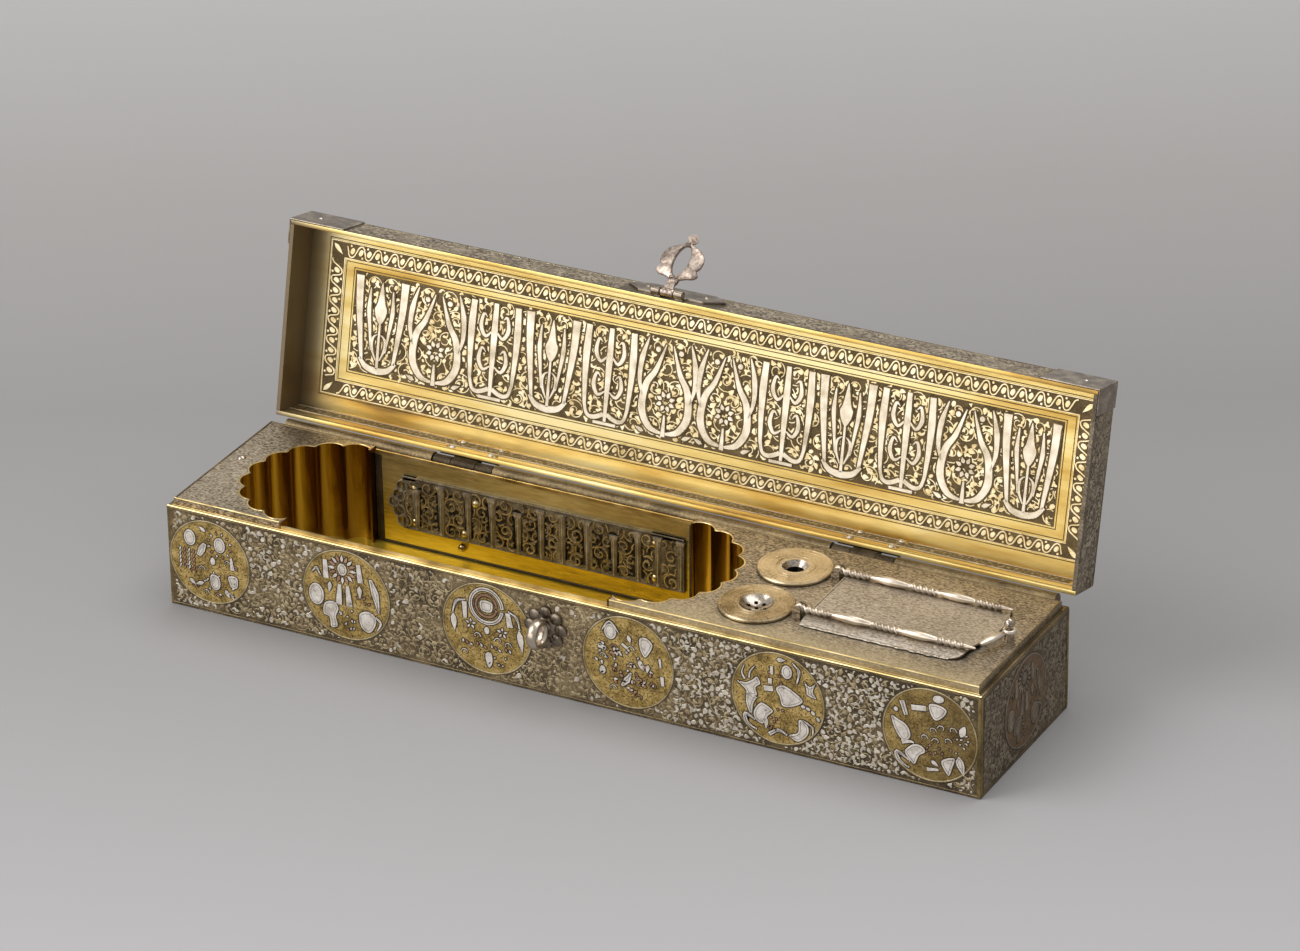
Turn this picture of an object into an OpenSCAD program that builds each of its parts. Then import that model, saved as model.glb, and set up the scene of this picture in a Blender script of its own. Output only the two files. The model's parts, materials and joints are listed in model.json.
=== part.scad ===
// Brass pen box with a hinged lid, a scalloped pen trough, two lift-out pots,
// a hinged silver cover over a small well, and a hasp that drops over a staple.
// The origin is the middle of the underside: +X is right, +Y is back, +Z is up.
// The lid and the hasp are drawn shut, then turned to where they stand open.

/* [Box] */
// Length of the box
body_l = 320; // [290:1:380]
// Width of the box, front to back
body_w = 72; // [66:1:90]
// Height of the walls up to the ledge that the lid rests on
wall_h = 39.5; // [36:0.5:50]
// Thickness of the four walls
wall_t = 2; // [1.6:0.1:2.6]
// Thickness of the bottom plate
bottom_t = 2.5; // [1.5:0.1:4]

/* [Decks] */
// Rise of the decks above the ledge
deck_rise = 2.5; // [1.5:0.1:3]
// Sheet thickness of the decks
deck_t = 1.4; // [0.8:0.1:2]
// Depth of the decks' turned-down edges
deck_edge_h = 7; // [5:0.5:10]
// Sheet thickness of the turned-down edges
deck_edge_t = 0.8; // [0.5:0.1:1]
// Radius of the stud on the left deck
stud_r = 1.8; // [1:0.1:3]

/* [Pen trough] */
// Land between the left end of the box and the trough
trough_land = 14; // [11:0.5:24]
// Narrowest width of the decks beside the scallops
deck_arm = 1; // [0.8:0.1:3]
// Number of lobes on each scalloped end
lobe_n = 9; // [5:2:13]
// Rise of each lobe above the line between its cusps
lobe_rise = 3.05; // [2.5:0.05:3.4]
// Sheet thickness of the trough liners
liner_t = 0.8; // [0.5:0.1:1.2]
// Thickness of the trough floor
floor_t = 1.5; // [0.8:0.1:3]

/* [Frieze] */
// Height of the pierced plaque
frieze_h = 20; // [14:0.5:24]
// Thickness of the pierced plaque
frieze_t = 1; // [0.6:0.1:1.4]
// Bare wall between each end of the plaque and the scallops
frieze_margin = 6.2; // [4:0.2:12]
// Width of the plaque's border bars
frieze_bar = 1.8; // [1:0.1:2.4]
// Number of arched windows
frieze_n = 15; // [8:1:18]
// Width of each post between the windows
frieze_post = 2.2; // [1.4:0.1:2.6]

/* [Pots] */
// Radius of the pots' flanges
flange_r = 13.5; // [12.6:0.1:14.5]
// Thickness of the flanges
flange_t = 1; // [0.6:0.1:1.6]
// Outer radius of the cups
cup_r = 11.2; // [9:0.1:11.8]
// Wall thickness of the cups
cup_t = 0.9; // [0.6:0.1:1.5]
// Depth of the cups below the deck
cup_depth = 26; // [18:0.5:30]
// Distance between the two pots' centres
pot_pitch = 30; // [29.4:0.2:32]
// Land between the trough's right end and the flanges
pot_land = 2.6; // [1:0.1:8]
// Radius of the ink pot's mouth
mouth_r = 4.65; // [3.6:0.05:6]
// Radius of the throat below the flared mouth
throat_r = 3.2; // [2.6:0.05:3.5]
// Depth of the flare from the mouth to the throat
mouth_flare = 2; // [1:0.1:3.5]
// Thickness of the silver mouth liner
mouth_liner_t = 0.6; // [0.4:0.1:1]
// Length of the silver mouth liner
mouth_liner_h = 7; // [4:0.5:12]
// Radius of the sand pot's strainer
strainer_r = 6.15; // [5:0.05:8]
// Depth of the strainer's dish
strainer_dip = 2.4; // [1.5:0.1:3.4]
// Sheet thickness of the strainer
strainer_t = 0.8; // [0.5:0.1:1]
// Radius of the strainer's holes
strainer_hole_r = 0.75; // [0.4:0.05:1]
// Number of holes round the middle one
strainer_hole_n = 6; // [4:1:8]

/* [Silver cover] */
// Land between the flanges and the cover's hinge line
cover_land = 3; // [2.4:0.1:6]
// Length of the strap rods from the hinge line to their tips
rod_l = 66.5; // [60:0.5:72]
// Distance between the two strap rods
rod_pitch = 30.6; // [29:0.2:34]
// Largest radius of the strap rods
rod_r = 1.3; // [1:0.05:1.4]
// Width of the cover at its bevelled skirts
cover_w = 43; // [40:0.5:50]
// Height of the cover's flat top above the deck
cover_rise = 2; // [1.6:0.1:2.4]
// Sheet thickness of the cover
cover_t = 0.8; // [0.5:0.1:1]
// Distance from the hinge line to the cover plate
cover_start = 3; // [2.6:0.1:5]
// Radius of the five lobes along the cover's free end
cover_lobe_r = 4.6; // [3.8:0.1:5]
// Length of the well under the cover
well_l = 48; // [30:0.5:50]
// Width of the well
well_w = 24; // [16:0.5:28]
// Depth of the well below the deck
well_depth = 30; // [15:0.5:32]
// Sheet thickness of the well
well_t = 0.8; // [0.5:0.1:1.2]

/* [Swivel latch] */
// Land between the right end wall and the latch pin
latch_land = 4.8; // [4.4:0.1:5.4]
// Radius of the latch pin
latch_pin_r = 0.9; // [0.6:0.05:1.2]
// Radius of the latch pin's ball head
latch_ball_r = 1.9; // [1.5:0.1:2.2]
// Length of the latch arm from its pin to its tip
latch_l = 14.3; // [11:0.1:15]
// Largest radius of the latch arm
latch_arm_r = 1.1; // [0.8:0.05:1.2]
// Direction of the latch arm, turned from the front towards the left
latch_turn = 21.7; // [16:0.1:24]

/* [Lid] */
// Depth of the lid
lid_depth = 16; // [15.4:0.2:24]
// Thickness of the lid's skirts and ends
lid_t = 1.6; // [1.2:0.1:1.6]
// Thickness of the lid's top panel
lid_panel_t = 1.6; // [1:0.1:2]
// Lip that the lid's front stands out by, for a thumb
lid_lip = 1.5; // [0.8:0.1:3]
// Angle that the lid stands open at
lid_open = 102.8; // [0:0.1:110]
// Length of the silver corner caps along the front
cap_l = 22; // [12:0.5:30]
// Length of the silver corner caps along the ends
cap_w = 9; // [6:0.5:16]
// Sheet thickness of the corner caps
cap_t = 0.6; // [0.3:0.1:1]

/* [Back hinges] */
// Distance from the middle of the box to each hinge
hinge_x = 80; // [60:1:110]
// Width of each hinge
hinge_w = 24; // [18:0.5:30]
// Radius of the hinge barrels
barrel_r = 2.4; // [2.1:0.05:2.5]
// Distance from the back wall to the hinge line
hinge_out = 3; // [2.9:0.05:3.4]
// Drop of the hinge line below the ledge
hinge_drop = 0.8; // [0.4:0.1:1.2]
// Radius of the hinge pins
hinge_pin_r = 1.2; // [0.8:0.05:1.4]
// Thickness of the hinge leaves
leaf_t = 1; // [0.6:0.1:1.2]
// Height of the leaf on the back wall
leaf_h = 17; // [13:0.5:24]

/* [Hasp and staple] */
// Sideways place of the hasp and the staple
clasp_x = -6.5; // [-20:0.5:20]
// Length of the hasp from its hinge line to its tip
hasp_l = 24.5; // [23.5:0.1:26]
// Width of the hasp across its leaves
hasp_w = 16.6; // [14:0.1:20]
// Thickness of the hasp
hasp_t = 1.6; // [1.2:0.1:2]
// Width of the slot that passes over the staple
slot_w = 5.3; // [4.8:0.1:6]
// Length of the slot
slot_l = 11.8; // [11.2:0.1:12.4]
// Distance from the hinge line to the slot's middle
slot_mid = 13.2; // [12.8:0.1:13.6]
// Angle that the hasp is lifted to, from hanging down
hasp_lift = 134; // [0:1:168]
// Length of the hasp plate
plate_l = 39; // [30:0.5:50]
// Height of the hasp plate
plate_h = 11; // [8:0.2:12]
// Thickness of the hasp plate
plate_t = 1; // [0.6:0.1:1.4]
// Radius of the hasp's knuckles
knuckle_r = 1.5; // [1.3:0.05:1.6]
// Radius of the hasp's pin
hasp_pin_r = 0.75; // [0.5:0.05:0.9]
// Radius of the staple's eye
eye_r = 4; // [3.5:0.1:4.2]
// Radius of the hole through the staple's eye
eye_hole_r = 1.9; // [1.4:0.05:2.2]
// Thickness of the staple's eye
eye_t = 3.4; // [2.6:0.1:3.8]
// Drop of the staple's eye below the hasp's hinge line
eye_drop = 13.7; // [13.2:0.1:14]
// Radius of the rosette, at its petals' tips
rosette_r = 8.4; // [6:0.1:10]
// Number of petals
petal_n = 8; // [6:1:12]
// Thickness of the rosette
rosette_t = 0.9; // [0.6:0.1:1.4]

/* [Clearances and rivets] */
// Gap between the lid's rim and the ledge
lid_seat = 0.3; // [0.3:0.05:0.5]
// Gap under the pots' flanges and under the cover
seat_gap = 0.3; // [0.2:0.05:0.5]
// Radial clearance of the pots in the deck
pot_gap = 0.3; // [0.2:0.05:0.5]
// Radial clearance of a pin in what turns on it
run_gap = 0.05; // [0.03:0.01:0.1]
// Gap between neighbouring knuckles
knuckle_gap = 0.3; // [0.2:0.05:0.4]
// Shank radius of the rivets
rivet_r = 0.7; // [0.5:0.05:0.9]
// Head radius of the rivets
rivet_head_r = 1.3; // [1:0.05:1.6]
// Head height of the rivets
rivet_head_h = 0.6; // [0.4:0.05:0.9]

/* [Hidden] */
$fn = 48;

// Metal tones
brass = "#b08d4a";
dark_brass = "#6f6147";
gold_brass = "#c9a24a";
deck_tone = "#968a74";
silver = "#b9b2a6";
dark_metal = "#4a4338";

// Overlap of a cut past the face that it starts from
cut = 1;

// Box: half sizes and levels
half_l = body_l / 2;
half_w = body_w / 2;
in_l = half_l - wall_t;
in_w = half_w - wall_t;
deck_z = wall_h + deck_rise;
floor_z = bottom_t + floor_t;

// Stud on the left deck
stud_in = 5.6;
stud_x = stud_in - in_l;
stud_y = 3.7;
stud_h = stud_r * 0.6;

// Scalloped ends: the lobes' tips, circles and pitch
tip_r = in_w - deck_arm - liner_t;
lobe_step = 180 / lobe_n;
chord_r = tip_r - lobe_rise;
half_chord = chord_r * tan(lobe_step / 2);
lobe_r = (half_chord * half_chord + lobe_rise * lobe_rise) / (2 * lobe_rise);
lobe_mid = tip_r - lobe_r;
cusp_r = chord_r / cos(lobe_step / 2);

// Right-hand fittings, set out from the right end towards the trough
latch_x = in_l - latch_land;
latch_y = 1;
latch_eye_wall = 1.7;
latch_eye_r = latch_pin_r + latch_eye_wall;
cover_tip_gap = 5.2;
hinge_line_x = latch_x - cover_tip_gap - rod_l;
pot_x = hinge_line_x - cover_land - flange_r;
trough_left = -half_l + trough_land + tip_r;
trough_right = pot_x - flange_r - pot_land - tip_r;
trough_mid = (trough_left + trough_right) / 2;
trough_l = trough_right - trough_left;

// Frieze: its length, middle height and windows
frieze_l = trough_l - 2 * frieze_margin;
frieze_z = (floor_z + wall_h) / 2;
frieze_end_r = frieze_h / 2;
frieze_pitch = (frieze_l - frieze_h) / frieze_n;
window_w = frieze_pitch - frieze_post;
window_h = frieze_h - 2 * frieze_bar;
frieze_rivet_in = 3.2;
frieze_tip_r = frieze_end_r * 0.94;

// Lid: its box while shut, and the hinge line
lid_z = wall_h + lid_seat;
lid_top = lid_z + lid_depth;
lid_front = -half_w - lid_lip;
hinge_y = half_w + hinge_out;
hinge_z = wall_h - hinge_drop;
leaf_wing = 4;
leaf_clear = 0.3;
leaf_lap = 0.8;
wing_pad = 0.6;
mid_knuckle_share = 0.4;
mid_knuckle = hinge_w * mid_knuckle_share;
side_knuckle = (hinge_w - mid_knuckle) / 2 - knuckle_gap;
rivet_edge = 2.6;
rivet_side = hinge_w / 2 - rivet_edge;
lid_rivet_rows = [3.7, 12.2];
wall_rivet_rows = [7.2, 14];

// Hasp and staple
plate_face = lid_front - plate_t;
hasp_axis_out = 1.3;
hasp_y = plate_face - hasp_axis_out;
hasp_axis_up = 0.7;
hasp_z = lid_z + hasp_axis_up;
hasp_knuckle = 5;
plate_knuckle = 3.4;
plate_up = 0.6;
plate_z = lid_z + lid_depth / 2 + plate_up;
plate_rivet_in = 8;
plate_rivet_x = plate_l / 2 - plate_rivet_in;
plate_point = 0.6;
eye_z = hasp_z - eye_drop;
eye_front_gap = 0.35;
eye_y = hasp_y - hasp_t / 2 - eye_front_gap - eye_hole_r;
eye_shank_r = 1.3;
eye_shank_in = 0.6;
petal_share = 0.3;
rosette_petal_r = rosette_r * petal_share;
finial_r = 1.9;
leaf_r = 4.6;
stem_w = 3.6;
slot_rim = 1.6;

// Pots: flange and cup levels
flange_z = deck_z + seat_gap;
pot_y = pot_pitch / 2;
cup_floor_t = 1.2;
flange_step = 0.35;
strainer_ring = strainer_r / 2;

// Cover: levels, lug and rod measures
cover_top = deck_z + cover_rise;
rod_seat = 0.05;
rod_z = cover_top + rod_r + rod_seat;
rod_y = rod_pitch / 2;
rod_eye_r = 1.7;
rod_eye_w = 2.4;
rod_neck_r = 0.85;
rod_neck_in = 0.3;
spindle_share = 0.27;
end_twist = 1.2;
shoulder_r = rod_r * 0.92;
shoulder_at = 0.25;
rod_tip_r = 0.4;
cover_pin_r = 0.7;
lug_t = 1;
lug_gap = 0.3;
lug_foot = 0.8;
lug_in = 0.2;
cover_flat = rod_pitch / 2 + rod_r;
cover_end_gap = 3.9;
cover_end_x = latch_x - cover_end_gap;
// Depth of the lobed margin, and how far back and how far to the rear each lobe sits
cover_margin = 1.9 * cover_lobe_r;
cover_lobes = [[-2.7, 17], [0, 9], [-0.1, 0.5], [-2.7, -7.6], [-4.5, -16.2]];
well_shift = 2;
well_mid_x = hinge_line_x + cover_start + (rod_l - cover_start) / 2 - well_shift;

// Swivel latch: levels
latch_over_cover = 0.4;
latch_z = cover_top + latch_over_cover + latch_arm_r;
latch_eye_h = 1.7;
latch_axial = 0.25;
latch_collar_wall = 0.8;
latch_collar_r = latch_pin_r + latch_collar_wall;
ball_seat = latch_ball_r * 0.95;
latch_ball_z = latch_z + latch_eye_h / 2 + latch_axial + ball_seat;
arm_root_in = 0.5;
arm_root_r = latch_arm_r * 0.6;
arm_shoulder_r = latch_arm_r * 0.75;

// Small shared shapes

// A block between two opposite corners
module block(low, high) {
  translate(low) cube(high - low);
}

// A rivet along +Z: a domed head on the plane z = 0 and a shank going down
module rivet(shank_l, head_r = rivet_head_r, head_h = rivet_head_h) {
  ball_r = (head_r * head_r + head_h * head_h) / (2 * head_h);
  translate([0, 0, -shank_l]) cylinder(r = rivet_r, h = shank_l);
  intersection() {
    translate([0, 0, head_h - ball_r]) sphere(r = ball_r);
    cylinder(r = head_r + cut, h = head_h + cut);
  }
}

// Turns what is drawn on the shut lid to where the lid stands open
module on_lid() {
  translate([0, hinge_y, hinge_z])
    rotate([-lid_open, 0, 0])
      translate([0, -hinge_y, -hinge_z])
        children();
}

// Turns what is drawn on the hanging hasp to where the hasp is lifted
module on_hasp() {
  on_lid()
    translate([clasp_x, hasp_y, hasp_z])
      rotate([-hasp_lift, 0, 0])
        children();
}

// Places children at both back hinges
module at_hinges() {
  for (side = [-1, 1])
    translate([side * hinge_x, 0, 0])
      children();
}

// Outline of a scalloped end, its lobes towards -X, grown outwards by a sheet
module scallop(grow) {
  intersection() {
    union() {
      circle(r = lobe_mid);
      for (k = [0 : lobe_n - 1])
        rotate(90 + lobe_step * (k + 0.5))
          translate([lobe_mid, 0])
            circle(r = lobe_r + grow);
    }
    translate([-2 * tip_r, -2 * tip_r]) square([2 * tip_r, 4 * tip_r]);
  }
}

// Box plates

module bottom_plate() {
  color(dark_brass) block([-in_l, -in_w, 0], [in_l, in_w, bottom_t]);
}

module front_wall() {
  color(dark_brass) difference() {
    block([-half_l, -half_w, 0], [half_l, -in_w, wall_h]);
    translate([clasp_x, -half_w - cut, eye_z])
      rotate([-90, 0, 0])
        cylinder(r = eye_shank_r, h = wall_t + 2 * cut);
  }
}

module back_wall() {
  color(dark_brass) difference() {
    block([-half_l, in_w, 0], [half_l, half_w, wall_h]);
    wall_rivet_holes();
  }
}

module end_wall(side) {
  x_low = side > 0 ? in_l : -half_l;
  block([x_low, -in_w, 0], [x_low + wall_t, in_w, wall_h]);
}

module left_end_wall() {
  color(dark_brass) end_wall(-1);
}

module right_end_wall() {
  color(dark_brass) end_wall(1);
}

// Decks

// A deck drawn for the left end: from its outer edge to the middle of a scallop
module deck_sheet(outer, centre) {
  translate([0, 0, deck_z - deck_t]) linear_extrude(deck_t) difference() {
    translate([outer, -in_w]) square([centre - liner_t - outer, 2 * in_w]);
    translate([centre, 0]) scallop(liner_t);
  }
  edge_low = deck_z - deck_edge_h;
  edge_high = deck_z - deck_t;
  block([outer, -in_w, edge_low], [outer + deck_edge_t, in_w, edge_high]);
  for (side = [-1, 1])
    block(
      [outer, min(side * in_w, side * (in_w - deck_edge_t)), edge_low],
      [centre - liner_t, max(side * in_w, side * (in_w - deck_edge_t)), edge_high]
    );
}

module left_deck() {
  color(deck_tone) difference() {
    deck_sheet(-in_l, trough_left);
    translate([stud_x, stud_y, deck_z - deck_t - cut]) cylinder(r = rivet_r, h = deck_t + 2 * cut);
  }
}

module deck_stud() {
  color(silver) translate([stud_x, stud_y, deck_z]) rivet(deck_t, stud_r, stud_h);
}

module right_deck() {
  color(deck_tone) difference() {
    mirror([1, 0, 0]) deck_sheet(-in_l, -trough_right);
    for (side = [-1, 1])
      translate([pot_x, side * pot_y, deck_z - deck_t - cut])
        cylinder(r = cup_r + pot_gap, h = deck_t + 2 * cut);
    block(
      [well_mid_x - well_l / 2, -well_w / 2, deck_z - deck_t - cut],
      [well_mid_x + well_l / 2, well_w / 2, deck_z + cut]
    );
    translate([latch_x, latch_y, deck_z - deck_t - cut]) cylinder(r = latch_pin_r, h = deck_t + 2 * cut);
  }
}

// Pen trough

module trough_floor() {
  color(gold_brass) block(
    [trough_left - tip_r - liner_t, -in_w, bottom_t],
    [trough_right + tip_r + liner_t, in_w, floor_z]
  );
}

module trough_front_liner() {
  color(gold_brass) block([trough_left, -in_w, floor_z], [trough_right, liner_t - in_w, wall_h]);
}

module trough_back_liner() {
  color(gold_brass) difference() {
    block([trough_left, in_w - liner_t, floor_z], [trough_right, in_w, wall_h]);
    frieze_rivet_holes();
  }
}

// A fluted liner for the left end, with the flanges that close its two edges
module scallop_liner() {
  translate([0, 0, floor_z]) linear_extrude(deck_z - floor_z) {
    difference() {
      scallop(liner_t);
      scallop(0);
    }
    for (side = [-1, 1])
      translate([-liner_t, side > 0 ? cusp_r : -in_w])
        square([liner_t, in_w - cusp_r]);
  }
}

module left_scallop_liner() {
  color(brass) translate([trough_left, 0, 0]) scallop_liner();
}

module right_scallop_liner() {
  color(brass) translate([trough_right, 0, 0]) mirror([1, 0, 0]) scallop_liner();
}

// Frieze

// One arched window, its foot on y = 0
module frieze_window() {
  arch_r = window_w / 2;
  translate([-arch_r, 0]) square([window_w, window_h - arch_r]);
  translate([0, window_h - arch_r]) circle(r = arch_r);
}

module frieze_outline() {
  bar_l = frieze_l - frieze_h;
  translate([-bar_l / 2, -frieze_h / 2]) square([bar_l, frieze_h]);
  for (side = [-1, 1])
    translate([side * bar_l / 2, 0])
      intersection() {
        rotate(45) square(frieze_h / sqrt(2), center = true);
        circle(r = frieze_tip_r);
      }
}

module frieze_rivet_places() {
  for (side = [-1, 1], level = [-1, 1])
    translate([
      trough_mid + side * (frieze_l / 2 - frieze_end_r),
      in_w - liner_t - frieze_t,
      frieze_z + level * (frieze_h / 2 - frieze_rivet_in)
    ])
      rotate([90, 0, 0])
        children();
}

module frieze_rivet_holes() {
  frieze_rivet_places() translate([0, 0, -frieze_t - liner_t - cut])
    cylinder(r = rivet_r, h = frieze_t + liner_t + 2 * cut);
}

module frieze_plaque() {
  color(dark_metal) difference() {
    translate([trough_mid, in_w - liner_t, frieze_z]) rotate([90, 0, 0]) linear_extrude(frieze_t)
      difference() {
        frieze_outline();
        for (k = [0 : frieze_n - 1])
          translate([(k - (frieze_n - 1) / 2) * frieze_pitch, frieze_bar - frieze_h / 2])
            frieze_window();
      }
    frieze_rivet_holes();
  }
}

module frieze_rivets() {
  color(gold_brass) frieze_rivet_places() rivet(frieze_t + liner_t);
}

// Staple

module staple_rosette() {
  color(silver) translate([clasp_x, -half_w, eye_z]) rotate([90, 0, 0]) difference() {
    linear_extrude(rosette_t) {
      circle(r = rosette_r - rosette_petal_r);
      for (k = [0 : petal_n - 1])
        rotate(k * 360 / petal_n)
          translate([rosette_r - rosette_petal_r, 0])
            circle(r = rosette_petal_r);
    }
    translate([0, 0, -cut]) cylinder(r = eye_shank_r, h = rosette_t + 2 * cut);
  }
}

// Section of the eye's ring, rounded outside and straight along the hole
module eye_section() {
  round_r = eye_t / 2;
  translate([eye_hole_r, -round_r]) square([eye_r - round_r - eye_hole_r, eye_t]);
  translate([eye_r - round_r, 0]) circle(r = round_r);
}

module staple_eye() {
  color(silver) difference() {
    union() {
      translate([clasp_x, eye_y, eye_z]) rotate([0, 90, 0]) rotate_extrude()
        intersection() {
          eye_section();
          translate([eye_hole_r, -eye_t]) square([eye_r, 2 * eye_t]);
        }
      translate([clasp_x, eye_y + eye_hole_r + eye_shank_in, eye_z]) rotate([-90, 0, 0])
        cylinder(r = eye_shank_r, h = -in_w - eye_y - eye_hole_r - eye_shank_in);
    }
    translate([clasp_x - eye_t, eye_y, eye_z]) rotate([0, 90, 0]) cylinder(r = eye_hole_r, h = 2 * eye_t);
  }
}

// Back hinges

// A knuckle along X, from its left end
module knuckle(radius, length, bore) {
  rotate([0, 90, 0]) difference() {
    cylinder(r = radius, h = length);
    translate([0, 0, -cut]) cylinder(r = bore, h = length + 2 * cut);
  }
}

module wall_rivet_places() {
  at_hinges()
    for (side = [-1, 1], row = wall_rivet_rows)
      translate([side * rivet_side, half_w + leaf_t, hinge_z - row])
        rotate([-90, 0, 0])
          children();
}

module wall_rivet_holes() {
  wall_rivet_places() translate([0, 0, -leaf_t - wall_t - cut])
    cylinder(r = rivet_r, h = leaf_t + wall_t + 2 * cut);
}

module wall_hinge_leaves() {
  low = hinge_z - leaf_h;
  color(dark_brass) difference() {
    at_hinges() {
      block([-hinge_w / 2, half_w, low], [hinge_w / 2, half_w + leaf_t, hinge_z - leaf_wing]);
      for (x = [-hinge_w / 2, hinge_w / 2 - side_knuckle]) {
        difference() {
          block([x, half_w, hinge_z - leaf_wing], [x + side_knuckle, half_w + leaf_t + wing_pad, hinge_z]);
          translate([x - cut, hinge_y, hinge_z]) rotate([0, 90, 0])
            cylinder(r = hinge_pin_r + run_gap, h = side_knuckle + 2 * cut);
        }
        translate([x, hinge_y, hinge_z]) knuckle(barrel_r, side_knuckle, hinge_pin_r);
      }
    }
    wall_rivet_holes();
  }
}

module wall_hinge_rivets() {
  color(brass) wall_rivet_places() rivet(leaf_t + wall_t);
}

module hinge_pins() {
  color(silver) at_hinges()
    translate([-hinge_w / 2, hinge_y, hinge_z]) rotate([0, 90, 0]) cylinder(r = hinge_pin_r, h = hinge_w);
}

module lid_rivet_places() {
  at_hinges()
    for (side = [-1, 1], row = lid_rivet_rows)
      translate([side * rivet_side, half_w - lid_t, lid_z + row])
        rotate([90, 0, 0])
          children();
}

module lid_rivet_holes() {
  lid_rivet_places() translate([0, 0, -leaf_t - lid_t - cut])
    cylinder(r = rivet_r, h = leaf_t + lid_t + 2 * cut);
}

module lid_hinge_leaves() {
  color(dark_brass) on_lid() difference() {
    at_hinges() {
      block(
        [-hinge_w / 2, half_w, hinge_z + leaf_wing - leaf_lap],
        [hinge_w / 2, half_w + leaf_t, lid_top - lid_panel_t]
      );
      difference() {
        block(
          [-mid_knuckle / 2, half_w + leaf_clear, hinge_z],
          [mid_knuckle / 2, half_w + leaf_t + wing_pad, hinge_z + leaf_wing]
        );
        translate([-mid_knuckle, hinge_y, hinge_z]) rotate([0, 90, 0])
          cylinder(r = hinge_pin_r + run_gap, h = 2 * mid_knuckle);
      }
      translate([-mid_knuckle / 2, hinge_y, hinge_z]) knuckle(barrel_r, mid_knuckle, hinge_pin_r + run_gap);
    }
    lid_rivet_holes();
  }
}

module lid_hinge_rivets() {
  color(brass) on_lid() lid_rivet_places() rivet(leaf_t + lid_t);
}

// Lid

module lid_panel() {
  color(gold_brass) on_lid()
    block([-half_l, lid_front, lid_top - lid_panel_t], [half_l, half_w, lid_top]);
}

module lid_front_skirt() {
  color(dark_brass) on_lid() difference() {
    block([-half_l, lid_front, lid_z], [half_l, lid_front + lid_t, lid_top - lid_panel_t]);
    plate_rivet_holes();
  }
}

module lid_back_skirt() {
  color(dark_brass) on_lid() difference() {
    block([-half_l, half_w - lid_t, lid_z], [half_l, half_w, lid_top - lid_panel_t]);
    lid_rivet_holes();
  }
}

module lid_end(side) {
  x_low = side > 0 ? half_l - lid_t : -half_l;
  on_lid()
    block([x_low, lid_front + lid_t, lid_z], [x_low + lid_t, half_w - lid_t, lid_top - lid_panel_t]);
}

module lid_left_end() {
  color(dark_brass) lid_end(-1);
}

module lid_right_end() {
  color(dark_brass) lid_end(1);
}

module lid_corner_caps() {
  color(silver) on_lid()
    for (side = [0, 1])
      mirror([side, 0, 0]) {
        block([half_l - cap_l, lid_front - cap_t, lid_z], [half_l + cap_t, lid_front, lid_top]);
        block([half_l, lid_front, lid_z], [half_l + cap_t, lid_front + cap_w, lid_top]);
      }
}

// Hasp

module plate_rivet_places() {
  for (side = [-1, 1])
    translate([clasp_x + side * plate_rivet_x, plate_face, plate_z])
      rotate([90, 0, 0])
        children();
}

module plate_rivet_holes() {
  plate_rivet_places() translate([0, 0, -plate_t - lid_t - cut])
    cylinder(r = rivet_r, h = plate_t + lid_t + 2 * cut);
}

// Pointed plate on the lid's front skirt, with the two outer knuckles
module hasp_plate() {
  point = plate_h * plate_point;
  color(silver) on_lid() difference() {
    union() {
      translate([clasp_x, lid_front, plate_z]) rotate([90, 0, 0]) linear_extrude(plate_t) polygon([
        [-plate_l / 2, 0], [point - plate_l / 2, -plate_h / 2], [plate_l / 2 - point, -plate_h / 2],
        [plate_l / 2, 0], [plate_l / 2 - point, plate_h / 2], [point - plate_l / 2, plate_h / 2]
      ]);
      for (side = [-1, 1])
        translate([clasp_x + side * (hasp_knuckle + plate_knuckle) / 2 + side * knuckle_gap, 0, 0])
          difference() {
            union() {
              translate([-plate_knuckle / 2, hasp_y, hasp_z]) rotate([0, 90, 0])
                cylinder(r = knuckle_r, h = plate_knuckle);
              block([-plate_knuckle / 2, hasp_y, hasp_z], [plate_knuckle / 2, lid_front, hasp_z + knuckle_r]);
              block(
                [-plate_knuckle / 2, plate_face, hasp_z],
                [plate_knuckle / 2, lid_front, plate_z - plate_h / 2 + cut]
              );
            }
            translate([-plate_knuckle, hasp_y, hasp_z]) rotate([0, 90, 0])
              cylinder(r = hasp_pin_r, h = 2 * plate_knuckle);
          }
    }
    plate_rivet_holes();
  }
}

module hasp_plate_rivets() {
  color(silver) on_lid() plate_rivet_places() rivet(plate_t + lid_t);
}

module hasp_pin() {
  pin_l = hasp_knuckle + 2 * (plate_knuckle + knuckle_gap);
  color(silver) on_lid()
    translate([clasp_x - pin_l / 2, hasp_y, hasp_z]) rotate([0, 90, 0]) cylinder(r = hasp_pin_r, h = pin_l);
}

// The hasp's outline, hanging down from y = 0
module hasp_outline() {
  leaf_x = hasp_w / 2 - leaf_r;
  translate([-stem_w / 2, -slot_mid]) square([stem_w, slot_mid]);
  translate([-slot_w / 2 - slot_rim, -slot_mid - slot_l / 2 + slot_w / 2])
    square([slot_w + 2 * slot_rim, slot_l - slot_w]);
  for (end = [-1, 1])
    translate([0, end * (slot_l - slot_w) / 2 - slot_mid]) circle(r = slot_w / 2 + slot_rim);
  for (side = [-1, 1])
    translate([side * leaf_x, -slot_mid]) circle(r = leaf_r);
  translate([-finial_r / 2, finial_r - hasp_l]) square([finial_r, hasp_l - slot_mid - slot_l / 2]);
  translate([0, finial_r - hasp_l]) circle(r = finial_r);
}

module hasp_slot() {
  straight = slot_l - slot_w;
  translate([-slot_w / 2, -slot_mid - straight / 2]) square([slot_w, straight]);
  for (end = [-1, 1])
    translate([0, end * straight / 2 - slot_mid]) circle(r = slot_w / 2);
}

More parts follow.
